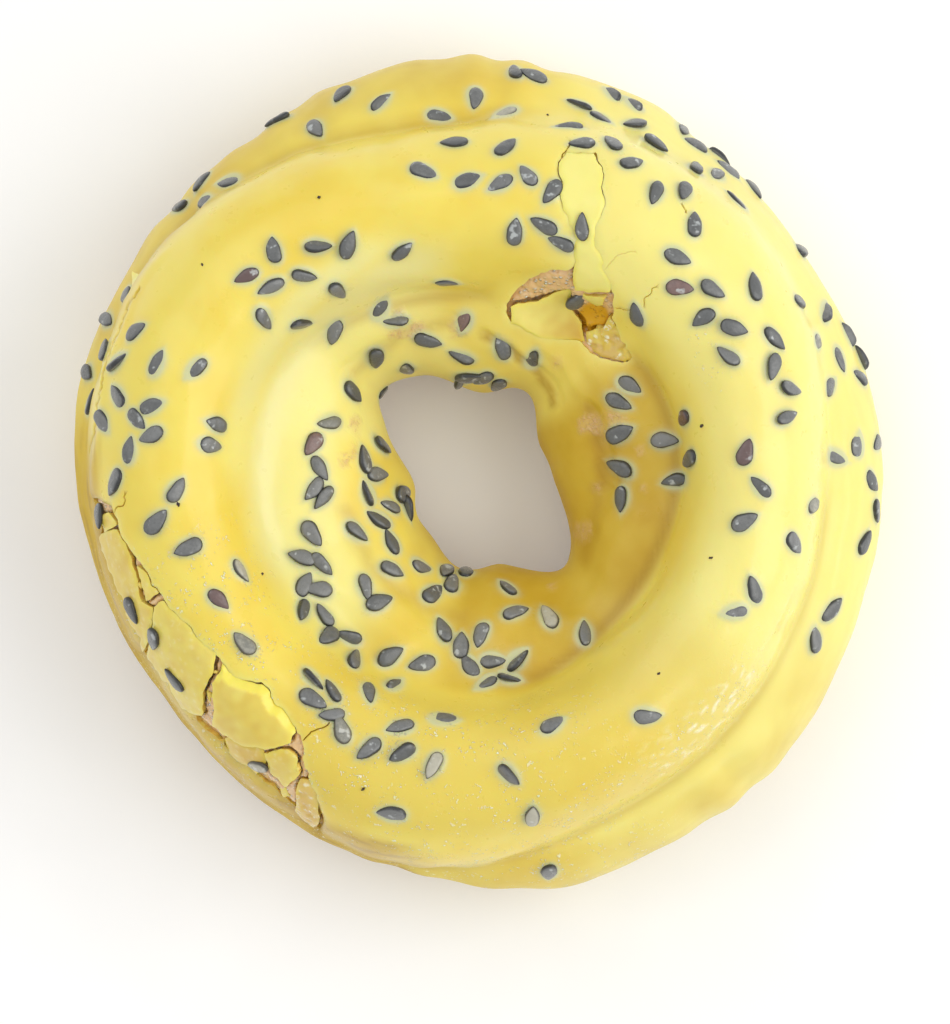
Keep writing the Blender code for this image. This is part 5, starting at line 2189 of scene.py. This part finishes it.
@dataclass(frozen=True)
class Studio:
    """Pale floor, soft lights and a camera that looks straight down.

    Args:
        view_centre: point of the floor plane at the middle of the view, in mm.
        view_height: height of the view in mm.
        distance: distance of the camera above the mid height of the ring, in mm.
        mid_height: mid height of the ring in mm.
        sensor: width of the camera's sensor in mm.
        floor_radius: radius of the floor in metres.
        floor_gap: how far the floor lies below the ring's foot, in mm.
        lit_point: the point that the lights face, in metres.
        sky_strength: strength of the light from all round.
    """

    view_centre: tuple[float, float] = (-0.35, -4.4)
    view_height: float = 117.8
    distance: float = 900.0
    mid_height: float = 16.0
    sensor: float = 36.0
    floor_radius: float = 0.9
    floor_gap: float = 0.05
    lit_point: tuple[float, float, float] = (0.0, 0.0, 0.02)
    sky_strength: float = 0.68

    def camera(self) -> None:
        """Add the camera over the ring."""
        data = bpy.data.cameras.new("camera")
        data.sensor_width = self.sensor
        data.lens = self.sensor * self.distance / self.view_height
        data.clip_end = 10.0
        camera = linked("camera", data)
        camera.location = Vector((*self.view_centre, self.mid_height + self.distance)) * MM
        bpy.context.scene.camera = camera

    def light(self, name: str, place: tuple[float, float, float], size: float, power: float,
              colour: Colour) -> None:
        """Add one square soft light that faces the ring.

        Args:
            name: the light's name.
            place: where it hangs, in metres.
            size: side of the square in metres.
            power: power in watts.
            colour: its colour.
        """
        data = bpy.data.lights.new(name, "AREA")
        data.size = size
        data.energy = power
        data.color = colour
        lamp = linked(name, data)
        lamp.location = place
        lamp.rotation_euler = (Vector(self.lit_point) - Vector(place)).to_track_quat("-Z", "Y").to_euler()

    def floor(self) -> None:
        """Add a wide pale disc to stand on."""
        mesh = bpy.data.meshes.new("floor")
        with editing(mesh) as shape:
            bmesh.ops.create_circle(shape, cap_ends=True, segments=96, radius=self.floor_radius)
        floor = linked("floor", mesh)
        floor.location.z = -self.floor_gap * MM
        mesh.materials.append(FloorFinish().material())

    def build(self) -> None:
        """Set up the world, the floor, the lights and the camera."""
        world = bpy.data.worlds.new("soft_sky")
        world.use_nodes = True
        background = world.node_tree.nodes["Background"]
        background.inputs["Color"].default_value = (1.0, 1.0, 1.0, 1.0)
        background.inputs["Strength"].default_value = self.sky_strength
        bpy.context.scene.world = world
        bpy.context.scene.view_settings.view_transform = "Standard"
        self.light("key", (0.66, -0.02, 0.60), 0.80, 4.0, (1.0, 0.99, 0.96))
        self.light("fill", (-0.45, 0.45, 0.75), 0.80, 1.8, (0.97, 0.99, 1.0))
        self.floor()
        self.camera()


def dress(obj: Object, materials: list[bpy.types.Material], slot: str, *nodes: str) -> None:
    """Give a piece its materials, its body and the nodes that it stands for.

    Args:
        obj: the piece.
        materials: its materials, in slot order.
        slot: not used.
        nodes: CAD nodes that it replaces.
    """
    obj.data.materials.clear()
    for material in materials:
        obj.data.materials.append(material)
    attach(obj, BODY)
    if nodes:
        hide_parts(*nodes)
    log.info("%s: %d faces", obj.name, len(obj.data.polygons))


def surface_of(objects: list[Object]) -> BVHTree:
    """One searchable surface of several objects.

    Args:
        objects: the objects.

    Returns:
        The surface, in metres.
    """
    shape = bmesh.new()
    for obj in objects:
        shape.from_mesh(obj.data)
    tree = BVHTree.FromBMesh(shape)
    shape.free()
    return tree


def main() -> None:
    """Build and dress the doughnut, then its studio."""
    logging.basicConfig(level=logging.INFO, format="%(message)s")
    form = RingForm()
    fracture = Fracture()
    breaks = [fracture.edge(FLANK_BREAK), fracture.edge(SHOULDER_BREAK)]
    coat_finish = CoatFinish().material()
    snapped = BrokenFaceFinish().material()
    loose = PieceFinish().material()

    covers = [fracture.edge(piece.outline, piece.inset) for piece in BROKEN_PIECES]
    dough = Dough(form, breaks, covers).build()
    dress(dough, [DoughFinish().material()], "fried_dough", "dough")

    piece_chart = SkinChart(form, *CHART_SPAN)
    pieces = []
    for piece in BROKEN_PIECES + LOOSE_CHIPS:
        obj = piece.build(form, piece_chart, fracture)
        dress(obj, [loose, snapped], "broken_coat", *([piece.name] if piece in BROKEN_PIECES else []))
        thicken(obj, piece.thickness, rim_only=False)
        pieces.append(obj)

    sesame = Sesame(form)
    sesame.lay(breaks, surface_of(pieces[:len(BROKEN_PIECES)] + [dough]))
    coat = Coating(form, sesame, breaks)
    skin = coat.build()
    dress(skin, [coat_finish, snapped], "yellow_coat", "coating")
    thicken(skin, coat.thickness, rim_only=True)

    for finish in SESAME_FINISHES:
        dress(sesame.build(finish.kind), [finish.material()], "yellow_coat")

    specks = Specks(form)
    dress(specks.build_specks(), [
        PlainFinish("scorched_speck", srgb(70, 52, 38), srgb(38, 30, 26), 0.3, 0.5).material()], "yellow_coat")
    dress(specks.build_crumbs(), [snapped], "broken_coat")

    Studio().build()


if __name__ == "__main__":
    main()
